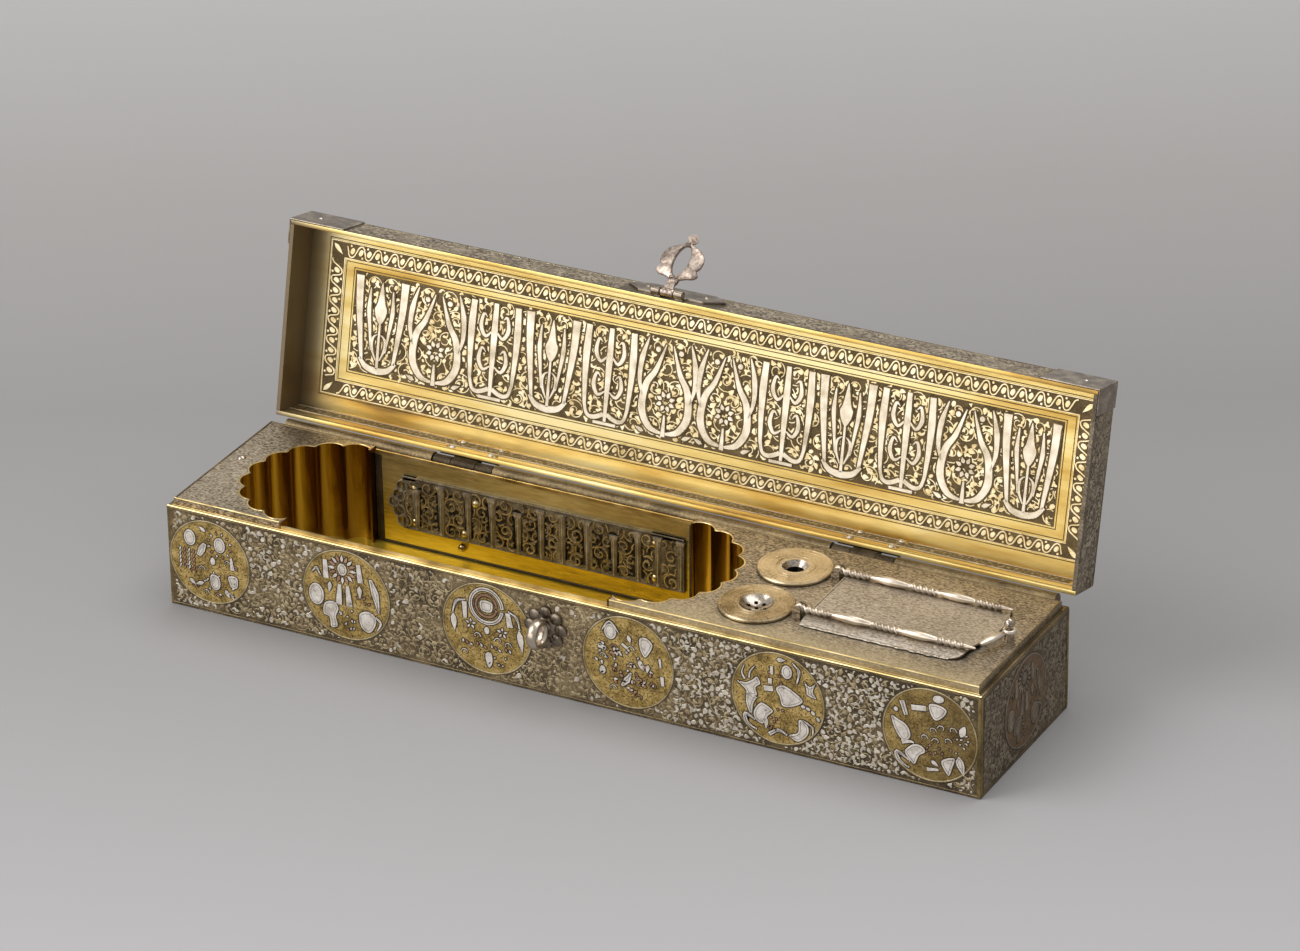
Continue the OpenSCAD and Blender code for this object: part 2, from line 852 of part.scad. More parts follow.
module hasp() {
  color(silver) on_hasp() difference() {
    union() {
      translate([0, hasp_t / 2, 0]) rotate([90, 0, 0]) linear_extrude(hasp_t) difference() {
        hasp_outline();
        hasp_slot();
      }
      translate([-hasp_knuckle / 2, 0, 0]) rotate([0, 90, 0]) cylinder(r = knuckle_r, h = hasp_knuckle);
    }
    translate([-hasp_knuckle, 0, 0]) rotate([0, 90, 0])
      cylinder(r = hasp_pin_r + run_gap, h = 2 * hasp_knuckle);
  }
}

// Pots

// Turned flange with a low step and a raised rim round its mouth
module pot_flange(hole) {
  rotate_extrude() polygon([
    [hole, 0], [flange_r, 0], [flange_r, flange_t - flange_step], [flange_r - flange_step, flange_t],
    [hole, flange_t]
  ]);
}

// Cup that hangs under a flange
module pot_cup() {
  low = deck_z - cup_depth;
  translate([0, 0, low]) difference() {
    cylinder(r = cup_r, h = flange_z - low);
    translate([0, 0, cup_floor_t]) cylinder(r = cup_r - cup_t, h = flange_z - low);
  }
}

module ink_flange() {
  color(brass) translate([pot_x, pot_y, flange_z]) pot_flange(mouth_r + mouth_liner_t);
}

module ink_cup() {
  color(dark_brass) translate([pot_x, pot_y, 0]) pot_cup();
}

// Silver funnel in the ink pot's mouth, flush with the flange
module ink_mouth_liner() {
  outer = mouth_r + mouth_liner_t;
  color(silver) translate([pot_x, pot_y, flange_z + flange_t]) rotate_extrude() polygon([
    [throat_r, -mouth_liner_h], [outer, -mouth_liner_h], [outer, 0], [mouth_r, 0], [throat_r, -mouth_flare]
  ]);
}

module sand_flange() {
  color(brass) translate([pot_x, -pot_y, flange_z]) pot_flange(strainer_r);
}

module sand_cup() {
  color(dark_brass) translate([pot_x, -pot_y, 0]) pot_cup();
}

// Dished silver strainer with a ring of holes round a middle one
module sand_strainer() {
  dish_r = (strainer_r * strainer_r + strainer_dip * strainer_dip) / (2 * strainer_dip);
  top = flange_z + flange_t;
  color(silver) translate([pot_x, -pot_y, top]) difference() {
    intersection() {
      translate([0, 0, dish_r - strainer_dip]) difference() {
        sphere(r = dish_r + strainer_t);
        sphere(r = dish_r);
      }
      translate([0, 0, -2 * strainer_dip]) cylinder(r = strainer_r, h = 2 * strainer_dip);
    }
    translate([0, 0, -3 * strainer_dip]) cylinder(r = strainer_hole_r, h = 3 * strainer_dip);
    for (k = [0 : strainer_hole_n - 1])
      rotate(k * 360 / strainer_hole_n)
        translate([strainer_ring, 0, -3 * strainer_dip])
          cylinder(r = strainer_hole_r, h = 3 * strainer_dip);
  }
}

// Silver cover and its well

module paste_well() {
  low = deck_z - well_depth;
  x_low = well_mid_x - well_l / 2;
  x_high = well_mid_x + well_l / 2;
  color(dark_brass) difference() {
    block([x_low, -well_w / 2, low], [x_high, well_w / 2, deck_z]);
    block(
      [x_low + well_t, well_t - well_w / 2, low + well_t],
      [x_high - well_t, well_w / 2 - well_t, deck_z + cut]
    );
  }
}

// Bevelled section of the cover, across the box
module cover_section() {
  skirt_z = deck_z + seat_gap;
  skirt_y = cover_w / 2;
  under = cover_top - cover_t;
  polygon([
    [-skirt_y, skirt_z], [-cover_flat, cover_top], [cover_flat, cover_top], [skirt_y, skirt_z],
    [skirt_y - 2 * cover_t, skirt_z], [cover_flat - cover_t / 2, under],
    [cover_t / 2 - cover_flat, under], [2 * cover_t - skirt_y, skirt_z]
  ]);
}

// The plate's outline, its free end lobed to stay clear of the latch arm
module cover_outline() {
  translate([hinge_line_x + cover_start, -cover_w / 2])
    square([cover_end_x - cover_margin - hinge_line_x - cover_start, cover_w]);
  for (lobe = cover_lobes)
    translate([cover_end_x - cover_lobe_r + lobe[0], lobe[1]])
      circle(r = cover_lobe_r);
}

module cover_plate() {
  color(silver) intersection() {
    translate([hinge_line_x, 0, 0]) rotate([90, 0, 90]) linear_extrude(rod_l + cover_tip_gap)
      cover_section();
    translate([0, 0, deck_z]) linear_extrude(2 * cover_rise) cover_outline();
  }
}

// Turned strap rod along +X from its eye: necks, two long spindles and a point
module strap_rod() {
  neck = rod_eye_r - rod_neck_in;
  spindle_l = (rod_l - neck) * spindle_share;
  shoulder = spindle_l * shoulder_at;
  twist_l = (rod_l - neck - 2 * spindle_l) / 4;
  s1 = neck + twist_l * end_twist;
  s2 = s1 + spindle_l;
  s3 = s2 + twist_l;
  s4 = s3 + spindle_l;
  s5 = s4 + twist_l * end_twist;
  difference() {
    union() {
      rotate([0, 90, 0]) rotate_extrude() polygon([
        [0, neck], [rod_neck_r, neck], [rod_neck_r, s1],
        [shoulder_r, s1 + shoulder], [rod_r, (s1 + s2) / 2], [shoulder_r, s2 - shoulder],
        [rod_neck_r, s2], [rod_neck_r, s3],
        [shoulder_r, s3 + shoulder], [rod_r, (s3 + s4) / 2], [shoulder_r, s4 - shoulder],
        [rod_neck_r, s4], [rod_neck_r, s5], [rod_tip_r, rod_l], [0, rod_l]
      ]);
      translate([0, rod_eye_w / 2, 0]) rotate([90, 0, 0]) cylinder(r = rod_eye_r, h = rod_eye_w);
    }
    translate([0, rod_eye_w, 0]) rotate([90, 0, 0]) cylinder(r = cover_pin_r + run_gap, h = 2 * rod_eye_w);
  }
}

module cover_front_rod() {
  color(silver) translate([hinge_line_x, -rod_y, rod_z]) strap_rod();
}

module cover_rear_rod() {
  color(silver) translate([hinge_line_x, rod_y, rod_z]) strap_rod();
}

// Two upright ears on a foot beside each rod's eye
module cover_lugs() {
  inner = rod_eye_w / 2 + lug_gap;
  foot = rod_eye_r - lug_in;
  color(silver)
    for (side = [-1, 1])
      translate([hinge_line_x, side * rod_y, 0]) {
        block([-foot, -inner - lug_t, deck_z], [foot, inner + lug_t, deck_z + lug_foot]);
        for (ear = [-inner - lug_t, inner])
          difference() {
            union() {
              block([-foot, ear, deck_z], [foot, ear + lug_t, rod_z]);
              translate([0, ear + lug_t, rod_z]) rotate([90, 0, 0]) cylinder(r = foot, h = lug_t);
            }
            translate([0, ear + lug_t + cut, rod_z]) rotate([90, 0, 0])
              cylinder(r = cover_pin_r, h = lug_t + 2 * cut);
          }
      }
}

module cover_pins() {
  pin_l = rod_eye_w + 2 * (lug_gap + lug_t);
  color(silver)
    for (side = [-1, 1])
      translate([hinge_line_x, side * rod_y + pin_l / 2, rod_z]) rotate([90, 0, 0])
        cylinder(r = cover_pin_r, h = pin_l);
}

// Swivel latch

module latch_pin() {
  collar_h = latch_z - latch_eye_h / 2 - latch_axial - deck_z;
  color(silver) translate([latch_x, latch_y, 0]) {
    translate([0, 0, deck_z - deck_t]) cylinder(r = latch_pin_r, h = latch_ball_z - deck_z + deck_t);
    translate([0, 0, deck_z]) cylinder(r = latch_collar_r, h = collar_h);
    translate([0, 0, latch_ball_z]) sphere(r = latch_ball_r);
  }
}

module latch_arm() {
  start = latch_eye_r - arm_root_in;
  middle = (start + latch_l) / 2;
  color(silver) translate([latch_x, latch_y, latch_z]) rotate(-90 - latch_turn) difference() {
    union() {
      translate([0, 0, -latch_eye_h / 2]) cylinder(r = latch_eye_r, h = latch_eye_h);
      rotate([0, 90, 0]) rotate_extrude() polygon([
        [0, start], [arm_root_r, start], [latch_arm_r, middle],
        [arm_shoulder_r, (middle + latch_l) / 2], [rod_tip_r, latch_l], [0, latch_l]
      ]);
    }
    translate([0, 0, -latch_eye_h]) cylinder(r = latch_pin_r + run_gap, h = 2 * latch_eye_h);
  }
}

bottom_plate();
front_wall();
back_wall();
left_end_wall();
right_end_wall();
left_deck();
right_deck();
deck_stud();
trough_floor();
trough_front_liner();
trough_back_liner();
left_scallop_liner();
right_scallop_liner();
frieze_plaque();
frieze_rivets();
staple_rosette();
staple_eye();
wall_hinge_leaves();
wall_hinge_rivets();
hinge_pins();
paste_well();
cover_lugs();
cover_pins();
latch_pin();
lid_panel();
lid_front_skirt();
lid_back_skirt();
lid_left_end();
lid_right_end();
lid_corner_caps();
lid_hinge_leaves();
lid_hinge_rivets();
hasp_plate();
hasp_plate_rivets();
hasp_pin();
hasp();
ink_flange();
ink_cup();
ink_mouth_liner();
sand_flange();
sand_cup();
sand_strainer();
cover_plate();
cover_front_rod();
cover_rear_rod();
latch_arm();
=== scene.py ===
"""Looks of a brass pen box inlaid with silver.

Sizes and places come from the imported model. The ornament is drawn in millimetres on the
faces of the box and of the shut lid, and stands a little way out of them.
"""
import json
import math
import random

import bpy
from mathutils import Matrix, Vector


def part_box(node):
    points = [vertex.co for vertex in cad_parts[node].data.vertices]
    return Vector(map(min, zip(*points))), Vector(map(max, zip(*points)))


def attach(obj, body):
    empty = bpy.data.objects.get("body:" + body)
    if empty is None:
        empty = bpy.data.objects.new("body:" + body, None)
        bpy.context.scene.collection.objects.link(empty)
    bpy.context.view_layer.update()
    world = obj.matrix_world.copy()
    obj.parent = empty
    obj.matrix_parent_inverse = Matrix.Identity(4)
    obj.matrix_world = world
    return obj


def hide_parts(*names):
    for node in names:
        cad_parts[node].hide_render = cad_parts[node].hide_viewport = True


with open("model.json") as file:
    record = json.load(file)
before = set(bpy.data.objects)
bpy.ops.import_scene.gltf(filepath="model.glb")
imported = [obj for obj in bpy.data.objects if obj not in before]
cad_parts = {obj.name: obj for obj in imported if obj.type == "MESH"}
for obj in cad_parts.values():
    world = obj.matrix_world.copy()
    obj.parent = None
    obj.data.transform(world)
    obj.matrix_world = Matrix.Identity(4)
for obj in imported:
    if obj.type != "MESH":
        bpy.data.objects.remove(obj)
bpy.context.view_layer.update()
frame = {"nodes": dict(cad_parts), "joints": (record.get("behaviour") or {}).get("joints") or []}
scene = bpy.context.scene
scene.view_settings.view_transform = "Standard"

MM = 0.001
MILLIMETRES = Matrix.Scale(MM, 4)
TAU = 2 * math.pi
X, Y, Z = Vector((1, 0, 0)), Vector((0, 1, 0)), Vector((0, 0, 1))


# Camera

IMAGE_W = 1300
FOCAL_PX = 6232.86
SENSOR_W = 36
CAMERA_AT = (0.91724, -1.70273, 1.05729)
CAMERA_TURN = math.radians(27.885)
CAMERA_DOWN = math.radians(27.030)
CAMERA_ROLL = math.radians(-0.809)


def make_camera():
    data = bpy.data.cameras.new("camera")
    data.sensor_width = SENSOR_W
    data.lens = FOCAL_PX * SENSOR_W / IMAGE_W
    camera = bpy.data.objects.new("camera", data)
    scene.collection.objects.link(camera)
    level = math.cos(CAMERA_DOWN)
    ahead = Vector((-math.sin(CAMERA_TURN) * level, math.cos(CAMERA_TURN) * level, -math.sin(CAMERA_DOWN)))
    aim = ahead.to_track_quat("-Z", "Y").to_matrix().to_4x4()
    camera.matrix_world = Matrix.Translation(CAMERA_AT) @ aim @ Matrix.Rotation(CAMERA_ROLL, 4, "Z")
    scene.camera = camera


make_camera()


# Places, in millimetres

def box_mm(node):
    low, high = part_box(node)
    return low / MM, high / MM


def middle_of(node):
    low, high = box_mm(node)
    return (low + high) / 2


def hinge(name):
    """A hinge's place in metres, and the turn from its lower limit to rest."""
    joint = next(j for j in frame["joints"] if j["name"] == name)
    turn = Matrix.Rotation(math.radians(-joint["range_deg"][0]), 4, Vector(joint["axis"]))
    return Vector(joint["pos_m"]), turn


def shut_box(node):
    """A lid node's corners while the lid is shut."""
    shut = LID_OPEN.inverted()
    points = [shut @ v.co / MM for v in frame["nodes"][node].data.vertices]
    return [Vector(pick(p[k] for p in points) for k in range(3)) for pick in (min, max)]


def face(origin, right, up, place=Matrix.Identity(4)):
    """Takes (x, y, height) in mm on a flat face to the frame in metres."""
    axes = Matrix((right, up, right.cross(up))).transposed().to_4x4()
    return place @ Matrix.Translation(Vector(origin) * MM) @ axes @ MILLIMETRES


# LID_OPEN and HASP_UP take what is drawn on the shut lid, and on the hanging hasp, to the rest pose
LID_HINGE, LID_TURN = hinge("lid_hinge")
HASP_HINGE, HASP_TURN = hinge("hasp_hinge")
LID_OPEN = Matrix.Translation(LID_HINGE) @ LID_TURN @ Matrix.Translation(-LID_HINGE)
HASP_UP = LID_OPEN @ Matrix.Translation(LID_OPEN.inverted() @ HASP_HINGE) @ HASP_TURN

WALL_LOW, WALL_HIGH = box_mm("front_wall")
HALF_L, HALF_W, WALL_H = WALL_HIGH.x, -WALL_LOW.y, WALL_HIGH.z
DECK_Z = box_mm("left_deck")[1].z
LID_LOW, LID_HIGH = shut_box("lid_panel")
LID_W = LID_HIGH.y - LID_LOW.y
LID_RIM = shut_box("lid_front_skirt")[0].z
LID_DEPTH = LID_HIGH.z - LID_RIM
PANEL_SHIFT = 2.1
TROUGH = (box_mm("left_scallop_liner")[1].x, box_mm("right_scallop_liner")[0].x)
LINER_Y = box_mm("trough_back_liner")[0].y
FLOOR_Z = box_mm("trough_floor")[1].z
LOBE_N = 9
LOBE_STEP = 180 / LOBE_N
HINGE_X, HINGE_W = 80, 24

FRONT = face((0, -HALF_W, 0), X, Z)
BACK = face((0, HALF_W, 0), -X, Z)
RIGHT = face((HALF_L, 0, 0), Y, Z)
LEFT = face((-HALF_L, 0, 0), -Y, Z)
LEDGE = face((0, 0, WALL_H), X, Y)
DECK = face((0, 0, DECK_Z), X, Y)
LID_INSIDE = face((PANEL_SHIFT, LID_HIGH.y, LID_LOW.z), X, -Y, LID_OPEN)
LID_TOP = face((0, LID_LOW.y, LID_HIGH.z), X, Y, LID_OPEN)
LID_FRONT = face((0, LID_LOW.y, LID_RIM), X, Z, LID_OPEN)
LID_BACK = face((0, LID_HIGH.y, LID_RIM), -X, Z, LID_OPEN)
LID_RIGHT = face((HALF_L, 0, LID_RIM), Y, Z, LID_OPEN)
LID_LEFT = face((-HALF_L, 0, LID_RIM), -Y, Z, LID_OPEN)
LID_REAR = face((0, shut_box("lid_back_skirt")[0].y, LID_RIM), X, Z, LID_OPEN)


# Flat outlines, in millimetres

def spline(p, q, r, s, t):
    """Where a smooth line through four values is at t, from 0 to 1, between the middle two."""
    square, cube = 2 * p - 5 * q + 4 * r - s, 3 * q - p - 3 * r + s
    return 0.5 * (2 * q + (r - p) * t + square * t ** 2 + cube * t ** 3)


def curve(points, closed=False, steps=4):
    """A smooth line through points."""
    count = len(points)

    def at(k):
        return points[k % count] if closed else points[min(max(k, 0), count - 1)]

    line = []
    for span in range(count if closed else count - 1):
        ends = [at(span + k) for k in (-1, 0, 1, 2)]
        line += [tuple(spline(*values, step / steps) for values in zip(*ends)) for step in range(steps)]
    return line if closed else line + [points[-1]]


def turned(points, x, y, degrees):
    c, s = math.cos(math.radians(degrees)), math.sin(math.radians(degrees))
    return [(x + px * c - py * s, y + px * s + py * c) for px, py in points]


def disc(x, y, rx, ry=None, tilt=0, sides=16):
    ry = ry or rx
    ring = [(rx * math.cos(TAU * k / sides), ry * math.sin(TAU * k / sides)) for k in range(sides)]
    return turned(ring, x, y, tilt)


def rectangle(x0, y0, x1, y1):
    return [(x0, y0), (x1, y0), (x1, y1), (x0, y1)]


def leaf(x, y, degrees, length, width, bend=0.0, sides=3):
    """A pointed leaf from its stalk at (x, y), broadest nearer the stalk."""
    low, high = [], []
    for k in range(1, sides + 1):
        t = k / (sides + 1)
        half = width / 2 * math.sin(math.pi * t ** 0.7)
        low.append((length * t, bend * length * t * t - half))
        high.append((length * t, bend * length * t * t + half))
    return turned([(0, 0), *low, (length, bend * length), *high[::-1]], x, y, degrees)


def bar(x, y, degrees, length, start_w, end_w):
    """A straight strip from (x, y), as wide at its two ends as given."""
    corners = [(0, -start_w / 2), (length, -end_w / 2), (length, end_w / 2), (0, start_w / 2)]
    return turned(corners, x, y, degrees)


def blob(*points):
    return curve(list(points), closed=True)


def between(stops, t):
    """The value at t, from 0 to 1, along evenly spaced stops."""
    place = t * (len(stops) - 1)
    k = min(int(place), len(stops) - 2)
    return stops[k] + (stops[k + 1] - stops[k]) * (place - k)


def stroke(points, *widths):
    """A brush stroke along points, its width passing through widths."""
    left, right = [], []
    last = len(points) - 1
    for k, (x, y) in enumerate(points):
        (ax, ay), (bx, by) = points[max(k - 1, 0)], points[min(k + 1, last)]
        length = math.hypot(bx - ax, by - ay) or 1
        half = between(widths, k / last) / 2
        nx, ny = (ay - by) / length * half, (bx - ax) / length * half
        left.append((x + nx, y + ny))
        right.append((x - nx, y - ny))
    return right + left[::-1]


def sweep(points, *widths):
    """A brush stroke along the smooth line through points."""
    return stroke(curve(points), *widths)


def mirrored(outline):
    """The outline's mirror image across the Y axis."""
    return [(-x, y) for x, y in outline[::-1]]


def inset(outline, amount):
    """The outline moved inwards, along the mean normal at each point."""
    result = []
    for k, (x, y) in enumerate(outline):
        (ax, ay), (bx, by) = outline[k - 1], outline[(k + 1) % len(outline)]
        length = math.hypot(bx - ax, by - ay) or 1
        result.append((x + (ay - by) / length * amount, y + (bx - ax) / length * amount))
    return result


def anticlockwise(outline):
    area = sum(ax * by - bx * ay for (ax, ay), (bx, by) in zip(outline, outline[1:] + outline[:1]))
    return outline if area > 0 else outline[::-1]


def spaced(count, pitch):
    """Evenly spaced values round 0."""
    return [(k - (count - 1) / 2) * pitch for k in range(count)]


def round_about(x, y, radius, count, start=0.0):
    """Places and headings, in degrees, evenly round a point."""
    for k in range(count):
        angle = start + 360 * k / count
        a = math.radians(angle)
        yield x + radius * math.cos(a), y + radius * math.sin(a), angle


def lifted(outline, height):
    """The outline's points in space, at a height."""
    return [(x, y, height) for x, y in outline]


def section(x, outline):
    """The outline's points in space, set across the X axis."""
    return [(x, y, z) for y, z in outline]


# Meshes

SUNK = 0.05
FLAT_TOP = 0.55
SHARPEST_TURN = 0.4
LOOKS = {}


class Relief:
    """Raised shapes on faces, gathered into one mesh."""

    def __init__(self):
        self.verts = []
        self.polys = []

    def tube(self, place, rings, closed=False):
        """A skin over rings of points in space, capped or, if closed, joined end to end."""
        loops = []
        for points in rings:
            start = len(self.verts)
            self.verts += [place @ Vector(point) for point in points]
            loops.append(range(start, len(self.verts)))
        for low, high in zip(loops, loops[1:] + loops[:1] if closed else loops[1:]):
            for k in range(len(low)):
                j = (k + 1) % len(low)
                self.polys.append((low[k], low[j], high[j], high[k]))
        if not closed:
            self.polys += [tuple(loops[0][::-1]), tuple(loops[-1])]

    def shape(self, place, outline, height, slope=0.2, base=-SUNK):
        """A closed outline with sloping sides and a flat top."""
        outline = anticlockwise(outline)
        self.tube(place, [lifted(outline, base), lifted(inset(outline, slope), height)])

    def ridge(self, place, points, width, height, closed=False, base=-SUNK):
        """A line with sloping sides and a flat top along points."""
        ends = zip(points, points[1:] + points[:1])
        steps = [Vector((bx - ax, by - ay)).normalized() for (ax, ay), (bx, by) in ends]
        if not closed:
            steps[-1] = steps[-2]
        profile = ((1, base), (FLAT_TOP, height), (-FLAT_TOP, height), (-1, base))
        rings = []
        for k, (x, y) in enumerate(points):
            back, on = steps[k - 1] if closed or k else steps[0], steps[k]
            along = (back + on).normalized()
            across = Vector((-along.y, along.x)) * (width / 2 / max(along.dot(on), SHARPEST_TURN))
            rings.append([(x + share * across.x, y + share * across.y, level) for share, level in profile])
        self.tube(place, rings, closed)

    def dome(self, place, x, y, radius, height, sides=14, levels=4, base=-SUNK):
        rings = [lifted(disc(x, y, radius, sides=sides), base)]
        for k in range(levels):
            lean = math.pi / 2 * k / levels
            rings.append(lifted(disc(x, y, radius * math.cos(lean), sides=sides), height * math.sin(lean)))
        self.tube(place, rings)

    def torus(self, place, radius, thick, broad, around=24, across=10):
        """A ring round the place's own axis, oval in section."""
        loops = []
        for k in range(around):
            c, s = math.cos(TAU * k / around), math.sin(TAU * k / around)
            loops.append([(r * c, r * s, h) for r, h in disc(radius, 0, thick, broad, sides=across)])
        self.tube(place, loops, closed=True)

    def keep(self, name, body, slot, look, sharp=50, replaces=()):
        """Makes the mesh a piece that rides on a body."""
        mesh = bpy.data.meshes.new(name)
        mesh.from_pydata(self.verts, [], self.polys)
        mesh.materials.append(LOOKS[look])
        mesh.polygons.foreach_set("use_smooth", [True] * len(mesh.polygons))
        mesh.set_sharp_from_angle(angle=math.radians(sharp))
        piece = bpy.data.objects.new(name, mesh)
        scene.collection.objects.link(piece)
        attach(piece, body)
        if replaces:
            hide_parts(*replaces)


# Materials

NOISE_RANGE = (0.3, 0.7)
FACING_LEAST = 0.6


def srgb(red, green, blue):
    """A screen colour from 0 to 255 as the shader's linear colour."""
    return tuple(((c / 255 + 0.055) / 1.055) ** 2.4 for c in (red, green, blue)) + (1.0,)


class Shader:
    """A Principled material whose nodes are added one by one, kept among the looks by its name."""

    def __init__(self, name, metallic=1.0):
        material = bpy.data.materials.new(name)
        material.use_nodes = True
        LOOKS[name] = material
        self.tree = material.node_tree
        self.surface = self.tree.nodes["Principled BSDF"].inputs
        self.surface["Metallic"].default_value = metallic
        self.coordinates = self.add("ShaderNodeTexCoord")
        self.place = self.coordinates.outputs["Object"]

    def feed(self, socket, value):
        if isinstance(value, bpy.types.NodeSocket):
            self.tree.links.new(value, socket)
        else:
            socket.default_value = value

    def add(self, kind, settings=(), **inputs):
        node = self.tree.nodes.new(kind)
        for key, value in settings:
            setattr(node, key, value)
        for key, value in inputs.items():
            self.feed(node.inputs[key.replace("_", " ")], value)
        return node

    def noise(self, size_mm, stretch=(1, 1, 1), detail=3.0):
        place = self.add("ShaderNodeMapping", Vector=self.place, Scale=stretch).outputs[0]
        return self.add("ShaderNodeTexNoise", Vector=place, Scale=1 / size_mm / MM, Detail=detail).outputs[0]

    def cells(self, size_mm):
        return self.add("ShaderNodeTexVoronoi", Vector=self.place, Scale=1 / size_mm / MM).outputs["Distance"]

    def math(self, operation, a, b):
        node = self.add("ShaderNodeMath", [("operation", operation)])
        self.feed(node.inputs[0], a)
        self.feed(node.inputs[1], b)
        return node.outputs[0]

    def blend(self, a, share_a, b, share_b):
        return self.math("ADD", self.math("MULTIPLY", a, share_a), self.math("MULTIPLY", b, share_b))

    def spread(self, value, low, high, to_low, to_high):
        """Takes a value from one range to another."""
        limits = {"From_Min": low, "From_Max": high, "To_Min": to_low, "To_Max": to_high}
        return self.add("ShaderNodeMapRange", Value=value, **limits).outputs[0]

    def ramp(self, value, tones, low=0.32, high=0.68):
        """Colours through screen tones, dark to light, as value goes from low to high."""
        node = self.add("ShaderNodeValToRGB", Fac=value)
        stops = node.color_ramp.elements
        while len(stops) < len(tones):
            stops.new(1.0)
        for k, tone in enumerate(tones):
            stops[k].position = low + (high - low) * k / (len(tones) - 1)
            stops[k].color = srgb(*tone)
        return node.outputs[0]

    def mix(self, share, a, b):
        node = self.add("ShaderNodeMix", [("data_type", "RGBA")])
        for socket, value in zip((node.inputs[0], node.inputs[6], node.inputs[7]), (share, a, b)):
            self.feed(socket, value)
        return node.outputs[2]

    def axis(self, name):
        """A coordinate of the rest frame, in metres."""
        return self.add("ShaderNodeSeparateXYZ", Vector=self.place).outputs[name]

    def shade(self, colour, start, end, tone, share):
        """The colour turned towards a tone by up to a share, from start to end along X in metres."""
        return self.mix(self.spread(self.axis("X"), start, end, 0, share), colour, srgb(*tone))

    def dot(self, vector, direction):
        node = self.add("ShaderNodeVectorMath", [("operation", "DOT_PRODUCT")])
        self.feed(node.inputs[0], vector)
        self.feed(node.inputs[1], tuple(direction))
        return node.outputs["Value"]

    def facing(self, direction):
        """1 where the surface faces a direction of the rest frame, 0 elsewhere."""
        normal = self.coordinates.outputs["Normal"]
        return self.math("GREATER_THAN", self.dot(normal, direction), FACING_LEAST)

    def finish(self, colour, roughness, height=None, strength=0.25, depth_mm=0.1):
        """Sets colour, roughness and bump, roughness as a noise and the two values it goes between."""
        noise, rough_low, rough_high = roughness
        self.feed(self.surface["Base Color"], colour)
        self.feed(self.surface["Roughness"], self.spread(noise, *NOISE_RANGE, rough_low, rough_high))
        if height is not None:
            bump = self.add("ShaderNodeBump", Height=height, Strength=strength, Distance=depth_mm * MM)
            self.feed(self.surface["Normal"], bump.outputs[0])


def metal(name, dark, middle, light, rough, patch, grain, relief, metallic):
    """A metal whose tone drifts in patches over a fine grain that also stands in relief."""
    look = Shader(name, metallic)
    drift = look.noise(patch)
    fine = look.noise(grain, detail=2.0)
    colour = look.ramp(look.blend(drift, 0.6, fine, 0.4), (dark, middle, light))
    look.finish(colour, (drift, *rough), fine, relief)


def plate(name, dark, bright, bright_sides, shade):
    """Patinated brass, smoother and bright on the faces that look the given ways."""
    look = Shader(name, 0.7)
    drift = look.noise(11.0)
    fine = look.noise(0.7, detail=2.0)
    side = look.facing(bright_sides[0])
    for direction in bright_sides[1:]:
        side = look.math("MAXIMUM", side, look.facing(direction))
    patina = look.ramp(look.blend(drift, 0.55, fine, 0.45), dark, 0.36, 0.64)
    stains = look.ramp(look.noise(14.0, (0.16, 1, 1), detail=5.0), bright, 0.3, 0.62)
    colour = look.shade(look.mix(side, patina, stains), *shade)
    look.finish(colour, (side, 0.55, 0.3), fine)


def stippled(name, tones, shade):
    """Gilt ground punched all over with small dots."""
    look = Shader(name, 0.6)
    dots = look.cells(0.75)
    drift = look.noise(5.0)
    colour = look.shade(look.ramp(look.blend(drift, 0.7, dots, 0.3), tones, 0.3, 0.66), *shade)
    look.finish(colour, (drift, 0.34, 0.5), dots, 0.5, 0.15)


def liner(name, low_tones, high_tones):
    """Bright sheet brass with streaks along the box, its tone changing from its foot to its rim."""
    look = Shader(name, 0.75)
    along = (0.12, 1, 1)
    streaks = look.noise(12.0, along)
    fine = look.noise(0.7, along, detail=2.0)
    tone = look.blend(streaks, 0.6, fine, 0.4)
    rise = look.spread(look.axis("Z"), 0.012, 0.032, 0, 1)
    colour = look.mix(rise, look.ramp(tone, low_tones), look.ramp(tone, high_tones))
    look.finish(colour, (streaks, 0.24, 0.4), fine)


def fluted(name, middle_x, way, tones):
    """Polished brass of one end of the trough, with painted shade in the grooves between the flutes, painted
    highlights down their middles and painted reflections in tall streaks.
    """
    look = Shader(name)
    half_lobe = math.radians(LOBE_STEP / 2)
    across = look.math("MULTIPLY", look.math("SUBTRACT", look.axis("X"), middle_x * MM), way)
    angle = look.math("ADD", look.math("ARCTAN2", look.axis("Y"), across), math.pi / 2)
    lobe = look.math("PINGPONG", angle, half_lobe)
    streaks = look.noise(3.0, (1, 1, 0.06))
    tone = look.math("ADD", look.spread(lobe, 0, half_lobe, 0, 0.75), look.math("MULTIPLY", streaks, 0.5))
    look.finish(look.ramp(tone, tones, 0.3, 0.98), (streaks, 0.1, 0.2))


def dashed(name, tones, shade=None):
    """Grey brass covered with fine dashes along the box, shaded midway between two places on Y."""
    look = Shader(name)
    dashes = look.noise(0.46, (0.4, 1.2, 1), detail=1.0)
    marks = look.noise(0.9, (0.8, 1, 1))
    drift = look.noise(25.0)
    tone = look.math("ADD", look.blend(dashes, 0.5, marks, 0.3), look.math("MULTIPLY", drift, 0.2))
    colour = look.ramp(tone, tones, 0.4, 0.6)
    if shade:
        start, end, shade_tone, share = shade
        middle = look.math("PINGPONG", look.spread(look.axis("Y"), start, end, 0, 2), 1.0)
        colour = look.mix(look.math("MULTIPLY", middle, share), colour, srgb(*shade_tone))
    look.finish(colour, (dashes, 0.5, 0.36), dashes, 0.35, 0.15)


DARK_BRASS = [(70, 60, 44), (108, 93, 69), (150, 131, 97)]
